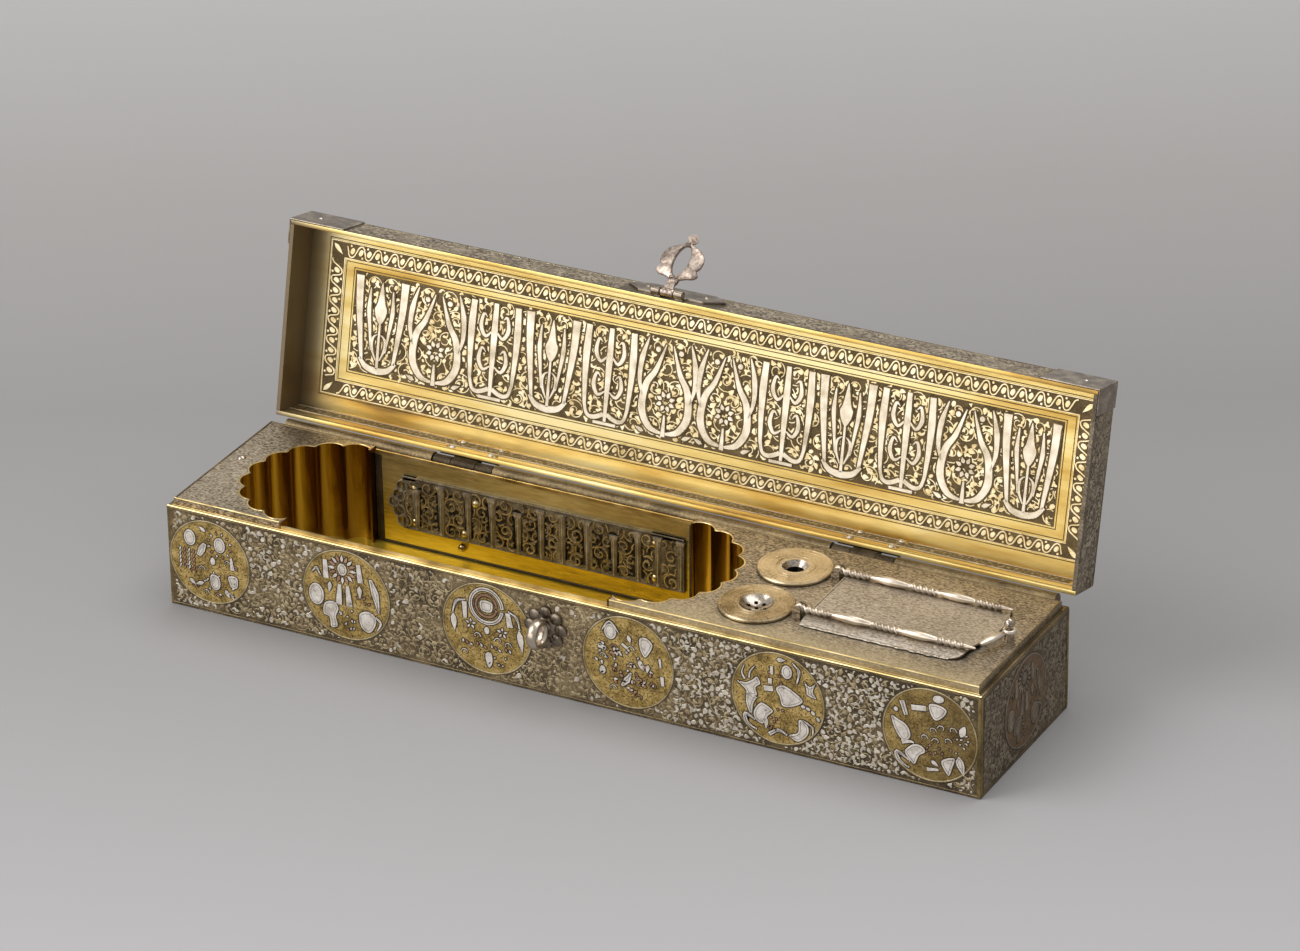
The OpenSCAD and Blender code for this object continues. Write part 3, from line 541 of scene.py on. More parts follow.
# Each metal's dark, middle and light tone, roughness, patch and grain in mm, relief and share of metal
METALS = [
    ("gold_line", (150, 128, 80), (204, 180, 124), (240, 222, 172), (0.26, 0.36), 14, 8, 0.02, 1),
    ("dark_line", (38, 31, 22), (60, 50, 36), (86, 73, 53), (0.5, 0.65), 5, 0.5, 0.25, 0.5),
    ("dull_leaf", (104, 92, 76), (146, 133, 114), (178, 165, 144), (0.5, 0.62), 5, 0.5, 0.25, 0.6),
    ("end_leaf", (90, 79, 66), (126, 113, 96), (152, 139, 120), (0.5, 0.62), 5, 0.5, 0.25, 0.6),
    ("silver_leaf", (158, 147, 130), (203, 193, 177), (234, 226, 212), (0.4, 0.55), 4, 0.5, 0.25, 0.6),
    ("worn_leaf", (116, 100, 73), (158, 140, 110), (192, 175, 142), (0.45, 0.6), 5, 0.5, 0.25, 0.6),
    ("scroll_stem", (128, 111, 78), (166, 148, 110), (198, 182, 146), (0.4, 0.55), 5, 0.5, 0.25, 0.6),
    ("figure_silver", (180, 169, 157), (224, 215, 204), (246, 240, 232), (0.4, 0.5), 3, 0.5, 0.25, 0.6),
    ("copper_bits", (134, 94, 70), (176, 132, 104), (206, 168, 140), (0.4, 0.5), 3, 0.5, 0.25, 0.6),
    ("ochre_shade", (58, 45, 22), (84, 66, 34), (112, 91, 50), (0.5, 0.6), 5, 0.6, 0.25, 0.5),
    # The next ground is darker as painted shade, for the worn medallions on the end walls
    ("shaded_worn_ground", (82, 62, 43), (108, 84, 58), (134, 108, 76), (0.5, 0.6), 5, 0.6, 0.25, 0.5),
    ("silver", (104, 94, 82), (172, 160, 146), (216, 206, 194), (0.16, 0.32), 6, 0.6, 0.12, 1),
    ("polished_silver", (150, 136, 120), (202, 189, 172), (230, 220, 206), (0.28, 0.34), 12, 5, 0.02, 1),
    ("hasp_silver", (104, 91, 82), (154, 138, 126), (196, 181, 168), (0.3, 0.42), 4, 1, 0.12, 1),
    ("rosette_silver", (84, 74, 64), (126, 114, 100), (168, 154, 138), (0.28, 0.42), 4, 0.8, 0.12, 1),
    ("tarnished_silver", (98, 87, 76), (150, 137, 122), (188, 176, 160), (0.3, 0.46), 5, 0.6, 0.25, 1),
    ("strip_ground", (70, 59, 39), (98, 83, 56), (130, 112, 77), (0.5, 0.62), 6, 0.6, 0.25, 0.4),
    ("frieze_vine", (112, 94, 62), (160, 137, 94), (200, 176, 126), (0.35, 0.5), 7, 0.7, 0.25, 0.6),
    ("column_brass", (96, 86, 73), (146, 134, 117), (190, 178, 158), (0.35, 0.5), 4, 0.6, 0.25, 0.6),
    ("pierced_brass", (62, 55, 46), (102, 93, 80), (148, 137, 120), (0.35, 0.5), 6, 0.6, 0.25, 0.6),
    ("hinge_brass", (44, 37, 29), (72, 62, 49), (104, 91, 73), (0.5, 0.62), 6, 0.6, 0.25, 1),
    ("rivet_brass", (110, 90, 56), (176, 154, 112), (220, 204, 168), (0.22, 0.38), 3, 0.5, 0.25, 1),
    ("pot_brass", (132, 115, 88), (190, 171, 138), (216, 200, 168), (0.24, 0.38), 8, 0.5, 0.15, 1),
    ("cup_brass", (20, 15, 9), (44, 34, 20), (84, 66, 38), (0.4, 0.6), 8, 0.6, 0.25, 1),
    ("lid_ground", (70, 58, 40), (100, 85, 60), (132, 114, 82), (0.45, 0.6), 5, 0.5, 0.25, 1),
    ("lid_vine", (198, 175, 124), (234, 214, 168), (250, 240, 208), (0.26, 0.38), 6, 3, 0.04, 1),
    ("lid_silver", (182, 166, 138), (220, 206, 182), (240, 231, 212), (0.24, 0.36), 7, 4, 0.03, 1),
    ("base_brass", *DARK_BRASS, (0.4, 0.55), 14, 0.8, 0.25, 1),
    ("edge_brass", (92, 78, 48), (130, 112, 70), (166, 147, 100), (0.35, 0.5), 8, 0.8, 0.25, 1),
]
BRIGHT_BRASS = [(74, 62, 40), (104, 88, 58), (136, 117, 80)]
LID_DARK = [(72, 63, 51), (108, 97, 81), (150, 137, 116)]
LID_GOLD = [(116, 90, 46), (194, 154, 72), (226, 198, 122), (238, 218, 158)]
OCHRE = [(108, 89, 50), (166, 138, 76), (202, 174, 110)]
COVER = [(126, 115, 101), (170, 159, 143), (194, 184, 170)]
LEFT_DECK = [(94, 82, 64), (164, 148, 124), (204, 190, 166)]
RIGHT_DECK = [(84, 74, 60), (146, 133, 114), (186, 173, 152)]
TROUGH_LOW = [(152, 126, 40), (200, 170, 50), (224, 196, 76)]
TROUGH_HIGH = [(146, 127, 78), (186, 165, 108), (212, 194, 140)]
LEFT_FLUTES = [(130, 98, 58), (170, 138, 84), (206, 176, 108)]
# Painted shade: the right end's flutes take a darker copy of the left end's tones
SHADED_RIGHT_FLUTES = [(104, 80, 52), (130, 102, 64), (158, 130, 78)]
# Shades: their start and end in metres, along X or, on dashed looks, along Y, then their tone and share
# Painted shade: the walls turn darker towards the box's right end
WALL_PAINTED_SHADE = (0.03, 0.10, (44, 36, 26), 0.38)
LID_SHADE = (-0.138, -0.160, (124, 108, 84), 1.0)
# Painted shade: the medallions' gilt ground turns darker towards the box's right end
OCHRE_PAINTED_SHADE = (0.110, 0.150, (70, 54, 30), 0.6)
# Painted shade: the cover turns darker in a band just in front of its front rod
COVER_PAINTED_SHADE = (-0.0155, -0.0215, (84, 71, 56), 0.42)
DECK_LIGHT = (-0.020, -0.048, (206, 190, 152), 0.5)

for row in METALS:
    metal(*row)
stippled("ochre_ground", OCHRE, OCHRE_PAINTED_SHADE)
dashed("cover_silver", COVER, COVER_PAINTED_SHADE)
dashed("deck_brass", LEFT_DECK)
dashed("right_deck_brass", RIGHT_DECK, DECK_LIGHT)
liner("trough_gold", TROUGH_LOW, TROUGH_HIGH)
fluted("left_flutes", TROUGH[0], -1, LEFT_FLUTES)
fluted("right_flutes", TROUGH[1], 1, SHADED_RIGHT_FLUTES)
plate("wall_brass", DARK_BRASS, BRIGHT_BRASS, [Z], WALL_PAINTED_SHADE)


# CAD pieces that show as they are

WELD_MM = 0.001
LID_SIDES = {
    "lid_panel": [-Z],
    "lid_front_skirt": [Y, -Z],
    "lid_back_skirt": [-Y, -Z],
    "lid_left_end": [X],
    "lid_right_end": [-X],
}


def dress(look, *nodes, edge=0.0):
    """Gives CAD pieces a look and, where edge is set, softened edges of that size in mm."""
    for name in nodes:
        piece = frame["nodes"][name]
        piece.data.materials.clear()
        piece.data.materials.append(LOOKS[look])
        if edge:
            weld = piece.modifiers.new("weld", "WELD")
            weld.merge_threshold = WELD_MM * MM
            bevel = piece.modifiers.new("soft_edges", "BEVEL")
            bevel.width = edge * MM
            bevel.segments = 2
            bevel.limit_method = "ANGLE"
            piece.modifiers.new("even_shading", "WEIGHTED_NORMAL")


dress("wall_brass", "front_wall", "back_wall", "left_end_wall", "right_end_wall", edge=0.35)
dress("base_brass", "bottom_plate")
dress("deck_brass", "left_deck")
dress("right_deck_brass", "right_deck", "cover_lugs")
dress("trough_gold", "trough_floor", "trough_front_liner", "trough_back_liner")
dress("left_flutes", "left_scallop_liner")
dress("right_flutes", "right_scallop_liner")
dress("pierced_brass", "frieze_plaque")
dress("rivet_brass", "frieze_rivets", "wall_hinge_rivets", "lid_hinge_rivets")
dress("hinge_brass", "wall_hinge_leaves", "lid_hinge_leaves", "hinge_pins")
dress("cup_brass", "ink_cup", "sand_cup", "paste_well")
dress("pot_brass", "ink_flange", "sand_flange")
dress("silver", "deck_stud", "ink_mouth_liner", "sand_strainer", "cover_pins", "latch_pin", "hasp_pin")
dress("tarnished_silver", "hasp_plate_rivets")
dress("tarnished_silver", "hasp_plate", edge=0.4)
dress("tarnished_silver", "lid_corner_caps", edge=0.25)
dress("cover_silver", "cover_plate", edge=0.2)
for node, sides in LID_SIDES.items():
    plate(node + "_brass", LID_DARK, LID_GOLD, [LID_OPEN.to_3x3() @ side for side in sides], LID_SHADE)
    dress(node + "_brass", node, edge=0.3)


# Leaf scrolls

SPIRAL_TURNS = 1.5
SPIRAL_STEPS = 22
SPIRAL_START, SPIRAL_LOSS = 0.55, 0.47
ROW_SHARE = 0.9
STEM_GAP = 0.3
# A leaf's way from its stem, its gap to the edge and its length, all in spacings, and its lean in degrees
LEAF_ASIDE, LEAF_GAP, LEAF_LENGTH, LEAF_LEAN = 0.55, 0.46, (1.15, 1.5), 35
# Tries in each square of one spacing
TRIES = 4
# What fills the gaps: times the tries, then gap to the edge, distance apart and length in spacings
LEAF_PASS = (1, 0.42, 1.0, (0.7, 1.2))
BUD_PASS = (2, 0.3, 0.74, (0.45, 0.7))


def scrolls(area, holes, boxes, pitch, spacing, seed, buds=False):
    """Spiral stems and leaves, and buds if asked, packed into an area, clear of round holes and of boxes."""
    rng = random.Random(seed)
    x0, y0, x1, y1 = area
    taken = {}

    def clear(x, y, gap):
        if not (x0 + gap <= x <= x1 - gap and y0 + gap <= y <= y1 - gap):
            return False
        if any(ax - gap < x < bx + gap and ay - gap < y < by + gap for ax, ay, bx, by in boxes):
            return False
        return all(math.hypot(x - cx, y - cy) >= r + gap for cx, cy, r in holes)

    def claim(x, y, apart):
        column, row = math.floor(x / spacing), math.floor(y / spacing)
        near = [(column + i, row + j) for i in (-1, 0, 1) for j in (-1, 0, 1)]
        if any(math.hypot(px - x, py - y) < apart for cell in near for px, py in taken.get(cell, ())):
            return False
        taken.setdefault((column, row), []).append((x, y))
        return True

    stems, leaves = [], []
    rows = max(1, round((y1 - y0) / (ROW_SHARE * pitch)))
    for row in range(rows):
        cy = y0 + (row + 0.5) * (y1 - y0) / rows
        for column in range(math.ceil((x1 - x0) / pitch) + 1):
            cx = x0 + (column + 0.5 * (row % 2)) * pitch
            spin = 1 if (row + column) % 2 else -1
            start = rng.uniform(0, TAU)
            stems.append([])
            for k in range(SPIRAL_STEPS + 1):
                t = k / SPIRAL_STEPS
                angle = start + spin * t * SPIRAL_TURNS * TAU
                radius = pitch * (SPIRAL_START - SPIRAL_LOSS * t)
                x, y = cx + radius * math.cos(angle), cy + radius * math.sin(angle)
                if not clear(x, y, STEM_GAP):
                    stems.append([])
                    continue
                stems[-1].append((x, y))
                side = 1 if k % 2 else -1
                lx = x + side * LEAF_ASIDE * spacing * math.cos(angle)
                ly = y + side * LEAF_ASIDE * spacing * math.sin(angle)
                heading = math.degrees(angle) + spin * (90 - side * LEAF_LEAN)
                if clear(lx, ly, LEAF_GAP * spacing) and claim(lx, ly, spacing):
                    leaves.append((lx, ly, heading, spacing * rng.uniform(*LEAF_LENGTH)))
    tries = int((x1 - x0) * (y1 - y0) / spacing ** 2 * TRIES)
    for times, gap, apart, lengths in (LEAF_PASS, BUD_PASS) if buds else (LEAF_PASS,):
        for _ in range(times * tries):
            x, y = rng.uniform(x0, x1), rng.uniform(y0, y1)
            if clear(x, y, gap * spacing) and claim(x, y, apart * spacing):
                leaves.append((x, y, rng.uniform(0, 360), spacing * rng.uniform(*lengths)))
    return [line for line in stems if len(line) > 2], leaves


def scroll_leaf(x, y, heading, length, rng):
    """A leaf centred on (x, y): a bud, a curl, a three-lobed leaf or a drop."""
    kind = rng.random()
    if kind < 0.2:
        return disc(x, y, 0.42 * length, 0.32 * length, heading, sides=7)
    if kind < 0.54:
        reach = 0.42 * length
        way = rng.choice((-1, 1))
        arc = [(reach * math.cos(0.6 * k), way * reach * (math.sin(0.6 * k) - 0.5)) for k in range(6)]
        return stroke(turned(arc, x, y, heading), 0.46 * length, reach, 0.12 * length)
    if kind < 0.72:
        lobes = [(0.4 * length * (1 + 0.34 * math.cos(TAU * k / 4)), TAU * k / 12) for k in range(12)]
        return turned([(r * math.cos(a), r * math.sin(a)) for r, a in lobes], x, y, heading)
    angles = [TAU * k / 10 for k in range(10)]
    drop = [(0.5 * length * math.cos(a), 0.45 * length * math.sin(a) * math.sin(a / 2)) for a in angles]
    return turned(drop, x, y, heading)


# Inlay of a body: its parts, each with its slot and its look, which for dull leaves is the body's own

INLAY = {
    "silver_leaves": ("silver", "silver_leaf"),
    "worn_leaves": ("inlaid_brass", "worn_leaf"),
    "dull_leaves": ("inlaid_brass", None),
    "scroll_stems": ("inlaid_brass", "scroll_stem"),
    "medallion_outlines": ("inlaid_brass", "dark_line"),
    "medallion_grounds": ("inlaid_brass", "ochre_ground"),
    "shaded_worn_grounds": ("inlaid_brass", "shaded_worn_ground"),
    "medallion_marks": ("inlaid_brass", "ochre_shade"),
    "medallion_rings": ("silver", "scroll_stem"),
    "medallion_figures": ("silver", "figure_silver"),
    "medallion_copper": ("inlaid_brass", "copper_bits"),
}
MEDALLION_R = 17.5
MEDALLION_SIDES = 56
MEDALLION_GAP = 0.4
LEAF_GROWTH = 1.03
FIELD_SPACING = 1.95
MARK_PITCH, MARK_SPACING = 5.0, 1.8
# Figures have a dark rim this wide and, where they are broad enough, a dark line this far inside their edge
RIM_W, BROAD, LINE_IN = 0.36, 3.4, 0.85


class Inlay:
    """The leaf scrolls and medallions of one body, gathered by what they are made of."""

    def __init__(self):
        self.parts = {part: Relief() for part in INLAY}

    def field(self, place, area, holes, boxes, seed, silver=(0, 0), worn=True, pitch=8.6):
        """Scrolls with silver leaves, by its shares along the box, among worn or, if not worn, dull ones."""
        stems, leaves = scrolls(area, holes, boxes, pitch, FIELD_SPACING, seed, buds=True)
        rng = random.Random(seed + 1)
        stem_part, leaf_part = ("scroll_stems", "worn_leaves") if worn else ("dull_leaves", "dull_leaves")
        for line in stems:
            self.parts[stem_part].ridge(place, line, 0.42, 0.12)
        for x, y, heading, length in leaves:
            outline = scroll_leaf(x, y, heading, LEAF_GROWTH * length, rng)
            if rng.random() < between(silver, (x + HALF_L) / (2 * HALF_L)):
                self.parts["silver_leaves"].shape(place, outline, 0.2, 0.16)
            else:
                self.parts[leaf_part].shape(place, outline, 0.1, 0.25)

    def medallion(self, place, x, y, radius, art, seed, worn=False):
        """A round picture on a gilt ground, or, where worn is set, on a dim ground, darker as painted shade,
        with its silver gone.
        """
        outlines, marks = self.parts["medallion_outlines"], self.parts["medallion_marks"]
        edge = disc(x, y, radius, sides=MEDALLION_SIDES)
        self.parts["shaded_worn_grounds" if worn else "medallion_grounds"].shape(place, edge, 0.05, 0.05)
        outlines.ridge(place, edge, 1.3, 0.07, closed=True)
        self.parts["dull_leaves" if worn else "medallion_rings"].ridge(place, edge, 0.8, 0.16, closed=True)

        def inside(px, py):
            return math.hypot(px - x, py - y) < radius - 1

        square = (x - radius, y - radius, x + radius, y + radius)
        stems, leaves = scrolls(square, [], [], MARK_PITCH, MARK_SPACING, seed)
        for px, py, heading, _ in leaves:
            if inside(px, py):
                marks.shape(place, disc(px, py, 0.6, 0.24, heading, sides=6), 0.07, 0.03)
        for line in stems:
            if all(inside(*point) for point in line):
                marks.ridge(place, line, 0.24, 0.07)
        size = radius / MEDALLION_R
        metals = ("dull_leaves", "dull_leaves") if worn else ("medallion_figures", "medallion_copper")
        for part, shapes in zip(metals, art(random.Random(seed))):
            for outline in shapes:
                drawn = anticlockwise([(x + px * size, y + py * size) for px, py in outline])
                outlines.shape(place, inset(drawn, -RIM_W * size), 0.1, 0.05)
                self.parts[part].shape(place, drawn, 0.2, 0.14)
                if min(max(values) - min(values) for values in zip(*drawn)) > BROAD * size:
                    outlines.ridge(place, inset(drawn, LINE_IN * size), 0.22, 0.24, closed=True)

    def keep(self, body, dull_look):
        for part, (slot, look) in INLAY.items():
            if self.parts[part].polys:
                self.parts[part].keep(f"{body}_{part}", body, slot, look or dull_look)


# Medallions: each gives its silver and its copper shapes, round (0, 0)

def bits(rng, x, y, reach_x, reach_y, count, size=1.3):
    """Small scraps of inlay left in a worn patch."""
    return [
        leaf(x + rng.uniform(-reach_x, reach_x), y + rng.uniform(-reach_y, reach_y), rng.uniform(0, 360),
             size * rng.uniform(0.7, 1.3), size * 0.7)
        for _ in range(count)
    ]


def floret(x, y, size):
    """Five small petals round a point."""
    return [leaf(*p, size, 0.6 * size) for p in round_about(x, y, 0.3 * size, 5, 18)]


def curls(*places):
    """Small tendrils that wind in on themselves, each from its place and its way round."""
    turns = [(1.8 - 0.28 * k, 0.8 * k) for k in range(6)]
    return [
        stroke([(x + way * r * math.cos(a), y + r * math.sin(a)) for r, a in turns], 0.5, 0.4)
        for x, y, way in places
    ]


def ring_stroke(x, y, radius, squash, width):
    """A ring that is open by a hair, so that its outline stays one loop."""
    return stroke(disc(x, y, radius, squash * radius, sides=36), width, width)


def two_heads(rng):
    halo = [leaf(*p, 1.5, 0.9) for p in round_about(4.7, 8.4, 4.3, 12, 15)]
    shapes = [
        disc(-8.6, 9.0, 2.7, 3.5), disc(4.7, 8.4, 2.6, 3.4), leaf(-1.2, 13.0, 150, 3.6, 1.7),
        sweep([(-4.8, 2.0), (-3.4, 5.0), (-1.8, 7.8)], 1.8, 3.2, 1.6),
        blob((0.2, -5.2), (3.8, -5.6), (4.4, -9.6), (2.2, -11.8), (0.0, -9.8)),
        bar(9.6, 4.0, -84, 5.2, 1.2, 2.0),
        blob((8.0, -4.4), (12.0, -4.0), (12.2, -8.2), (9.4, -9.0)), leaf(6.4, -10.4, -60, 4.0, 2.0),
        leaf(-3.0, -9.4, 200, 4.2, 1.9), disc(1.4, 0.8, 1.2, 1.7), leaf(-9.6, -8.8, -40, 4.0, 1.8),
    ]
    dashes = [bar(-13.4 + 2.0 * (k % 4), 2.6 - 1.8 * (k // 4), 72, 1.6, 0.8, 0.8) for k in range(20)]
    tendrils = curls(
        (-10.5, -4.2, 1), (-7.2, -5.8, -1), (-4.0, -3.6, 1), (-6.4, -11.8, -1), (-2.6, -13.6, 1),
        (3.4, -14.2, -1), (7.6, -12.8, 1), (11.6, -0.6, -1), (7.6, 1.0, 1),
    )
    silver_shapes = shapes + halo[::2] + dashes[::2] + bits(rng, 4, -9, 7, 5, 14) + tendrils[::2]
    return silver_shapes, halo[1::2] + dashes[1::2] + tendrils[1::2]


def sun_disc(rng):
    rays = [leaf(*p, 3.2, 1.4) for p in round_about(-1.4, 10.0, 2.9, 16)]
    shapes = [
        disc(-1.4, 10.0, 2.0, 2.5), bar(-8.4, 12.6, -88, 7.4, 1.9, 2.4), bar(5.2, 13.4, -84, 7.2, 1.9, 2.4),
        bar(-2.7, 3.8, -94, 8.2, 1.6, 2.8), bar(0.5, 3.8, -86, 8.2, 1.6, 2.8), leaf(5.4, 5.0, -88, 5.4, 2.1),
        leaf(-6.6, 4.2, -96, 4.6, 1.9), sweep([(10.0, 8.6), (11.8, 3.0), (13.2, -4.6)], 1.2, 3.2, 0.5),
        disc(-12.4, -2.2, 3.2, 4.4), sweep([(-14.0, 6.4), (-12.0, 8.4), (-10.4, 5.8)], 0.6, 1.4, 0.6),
        blob((-9.2, -5.0), (-5.4, -3.6), (-3.4, -6.0), (-4.6, -9.6), (-4.0, -13.4), (-6.8, -14.2),
             (-7.4, -10.4), (-9.8, -9.4)),
        blob((5.0, -6.4), (8.6, -4.6), (11.8, -6.4), (11.4, -10.2), (8.8, -13.2), (5.6, -11.4)),
        sweep([(11.6, -6.2), (13.8, -8.2), (12.2, -11.6)], 0.9, 1.1, 0.6),
    ]
    return shapes + rays[::2] + bits(rng, 0, -10, 4, 4, 9), rays[1::2] + bits(rng, 6, -1, 4, 3, 6)


def moon_ring(rng):
    shapes = [
        ring_stroke(0, 9.0, 6.3, 1.05, 1.5), blob((-2, 7), (2, 7), (2.3, 10.8), (-2.3, 10.8)),
        bar(-8.8, 9.0, -88, 6.5, 2.2, 1.6), bar(8.4, 8.2, -80, 5.6, 2.0, 2.6),
        sweep([(-8.2, 9.8), (-12.0, 8.4), (-13.6, 3.6)], 0.6, 1.3, 0.8), leaf(-13.4, 3.6, -86, 7.4, 2.6),
        sweep([(8.6, 9.0), (12.0, 7.0), (13.2, 2.4)], 0.6, 1.3, 0.8), leaf(12.8, 2.6, -82, 9.2, 2.7),
        blob((-0.8, -9.8), (1.6, -9.4), (2.0, -13.0), (0.6, -15.4), (-0.6, -13.4)), disc(0, -0.6, 1.1, 1.5),
    ] + floret(-6.4, 0.8, 1.8) + floret(6.2, -0.2, 1.8)
    shapes += curls((-4.2, -3.6, 1), (4.6, -4.0, -1), (-8.8, -11.2, -1), (8.0, -5.0, 1))
    row = [leaf(-9.6 + 1.9 * k, -7.4 - 0.3 * (k % 3), 90 + 25 * (k % 3), 1.7, 1.0) for k in range(11)]
    return shapes + row[::2] + bits(rng, 5, -11, 4, 3, 5), [ring_stroke(0, 9.0, 4.1, 1.05, 1.1)] + row[1::2]


def seated_figure(rng):
    shapes = [
        disc(-6.8, 10.8, 2.5, 3.1), sweep([(-10.2, 10.4), (-7.0, 14.8), (-3.4, 10.8)], 0.5, 1.0, 0.5),
        blob((4.6, 10.6), (7.4, 11.4), (9.8, 9.2), (8.4, 5.6), (6.6, 3.6), (4.8, 6.4)),
        leaf(0.0, 11.0, -70, 3.6, 1.7), bar(-11.6, 4.4, -14, 3.2, 1.7, 1.7),
        bar(-2.4, 7.0, -30, 2.8, 1.2, 1.2), bar(12.4, 4.4, -84, 3.4, 1.2, 0.9),
        bar(13.2, -2.4, -86, 3.6, 1.5, 1.5), sweep([(-2.6, -9.6), (-0.4, -6.8), (1.2, -3.6)], 1.0, 2.6, 0.6),
        leaf(4.2, 2.4, -70, 4.4, 2.1), leaf(8.0, 1.2, -100, 3.8, 1.7), disc(-10.0, -5.0, 1.3, 1.7),
    ]
    tendrils = curls(
        (-10.2, 0.4, 1), (-5.0, 4.6, -1), (0.8, 5.4, 1), (10.0, -7.2, -1), (-6.2, -11.4, 1), (4.4, -13.0, -1),
    )
    silver_bits = bits(rng, -5, -1, 7, 7, 24, 1.6) + bits(rng, 5, -4, 5, 6, 14, 1.5)
    return shapes + silver_bits + tendrils[::2], bits(rng, 0, -4, 9, 8, 22, 1.7) + tendrils[1::2]


def stag_and_heart(rng):
    shapes = [
        blob((-15.6, 3.4), (-12.4, 3.6), (-9.8, 5.2), (-8.0, 6.8), (-6.6, 4.4), (-8.4, 2.4), (-8.0, -0.6),
             (-11.2, -0.8), (-12.8, 1.2)),
        sweep([(-12.6, 4.8), (-13.8, 7.2), (-12.8, 10.4)], 0.9, 0.7, 0.4),
        sweep([(-11.0, 5.6), (-10.6, 8.2), (-8.8, 10.8)], 0.9, 0.7, 0.4),
        sweep([(-10.0, -0.6), (-10.8, -4.0), (-10.4, -8.0)], 4.6, 3.0, 1.0),
        blob((-9.2, -6.6), (-6.6, -3.0), (-3.6, -3.8), (-1.8, -5.4), (-3.8, -7.6), (-5.8, -11.2),
             (-8.8, -9.8)),
        sweep([(-8.6, -10.2), (-12.6, -8.6), (-11.8, -12.0), (-8.0, -13.8)], 0.9, 1.6, 0.7),
        leaf(-4.4, -8.2, -92, 4.8, 1.8), disc(3.4, 11.2, 2.1, 2.7),
        sweep([(5.4, 15.4), (8.0, 12.4), (7.2, 7.6)], 0.5, 1.4, 0.6),
        blob((-0.8, 4.0), (1.8, 5.8), (5.4, 4.6), (9.6, 1.4), (6.0, -1.6), (1.8, -2.4), (0.6, 1.0)),
        bar(-2.4, 12.2, -88, 3.2, 1.3, 1.3), bar(-3.0, 7.4, -90, 2.2, 1.7, 1.7),
        bar(-5.4, 3.0, 8, 3.6, 2.1, 2.1), leaf(-0.6, 15.2, 6, 3.6, 1.8),
        blob((10.0, 9.4), (12.0, 7.6), (14.4, 9.4), (13.4, 6.0), (14.6, 3.4), (11.2, 4.2), (10.8, 6.2)),
        blob((8.0, -6.2), (11.4, -7.8), (11.4, -11.6), (7.6, -15.0), (4.2, -13.2), (7.6, -11.2)),
        sweep([(9.4, -6.0), (13.2, -8.2), (13.0, -11.6)], 0.5, 1.2, 0.4),
        sweep([(-3.4, -14.6), (0.2, -12.2), (3.6, -13.4)], 1.7, 1.3, 0.9),
    ] + [disc(9.6 + 1.9 * k, -0.8 - 0.4 * k * k, 1.0, 0.7, -20 * k, 8) for k in range(4)]
    return shapes, bits(rng, 0, -8, 5, 4, 10) + bits(rng, 0, 8, 3, 4, 5)


def archer(rng):
    shapes = curls(
        (0.8, 1.8, 1), (4.4, 3.4, -1), (8.2, 3.6, 1), (2.4, -2.0, -1), (6.4, -1.0, 1), (-2.4, -1.6, 1),
    ) + [
        blob((-14.6, 4.2), (-12.0, 3.6), (-8.4, 1.6), (-7.2, -2.2), (-9.8, -4.4), (-12.8, -1.4)),
        bar(-10.6, 11.0, -72, 5.4, 2.1, 1.7), bar(-7.0, 9.2, 8, 5.6, 2.1, 2.1), disc(-12.8, 7.2, 0.9, 0.9),
        blob((-0.4, 12.0), (3.4, 12.4), (6.2, 11.0), (4.8, 8.0), (2.0, 6.2), (0.0, 8.6)),
        disc(3.0, 14.6, 2.2, 1.5, 10),
        blob((-9.4, -8.2), (-6.4, -5.0), (-3.2, -4.8), (-1.6, -6.8), (-4.0, -9.0), (-5.6, -12.6),
             (-8.0, -10.8)),
        sweep([(-7.2, -11.8), (-12.4, -9.0), (-11.4, -12.4), (-7.6, -14.4)], 0.9, 1.7, 0.8),
        blob((4.2, -9.0), (9.2, -6.6), (8.6, -10.4), (7.0, -14.0)), leaf(10.8, -5.4, -84, 7.8, 3.3, 0.18),
        sweep([(-10.6, -5.0), (-7.4, -4.2), (-5.8, -4.4)], 1.9, 1.1, 0.5), leaf(0.4, -9.6, -30, 3.6, 1.7),
        blob((10.8, 4.6), (13.0, 6.6), (13.4, 3.6), (11.4, 2.0)),
        stroke([(-1.0, -13.4), (3.4, -12.6)], 1.5, 1.0),
    ]
    return shapes + bits(rng, 12, -1, 2.5, 4, 10, 1.2), bits(rng, 4, -6, 5, 2, 8, 1.2)


MEDALLIONS = [two_heads, sun_disc, moon_ring, seated_figure, stag_and_heart, archer]


# Walls of the box

MEDALLION_Z = 20.4
MEDALLION_PLACES = [(-142.9, 16.2), (-86.6, 17.4), (-30, 17.5), (25.7, 17.5), (83.6, 17.5), (141, 17.5)]
END_MEDALLION_R = 16.6
EDGE_STRIP = 2.0
FIELD_LOW, FIELD_HIGH = 1.4, 38.3
STAPLE = middle_of("staple_eye")
ROSETTE_R = box_mm("staple_rosette")[1].x - STAPLE.x
# Shares of the silver still in place, at even steps from one end of the box to the other
FRONT_SILVER = (0.5, 0.35, 0.22, 0.12, 0.1, 0.6, 0.9, 0.8, 0.75)
BACK_SILVER = (0.55, 0.55)


def hinge_boxes(gap, low, high):
    """What the two hinges take up of a face, with a gap to their sides."""
    reach = HINGE_W / 2 + gap
    return [(side * HINGE_X - reach, low, side * HINGE_X + reach, high) for side in (-1, 1)]


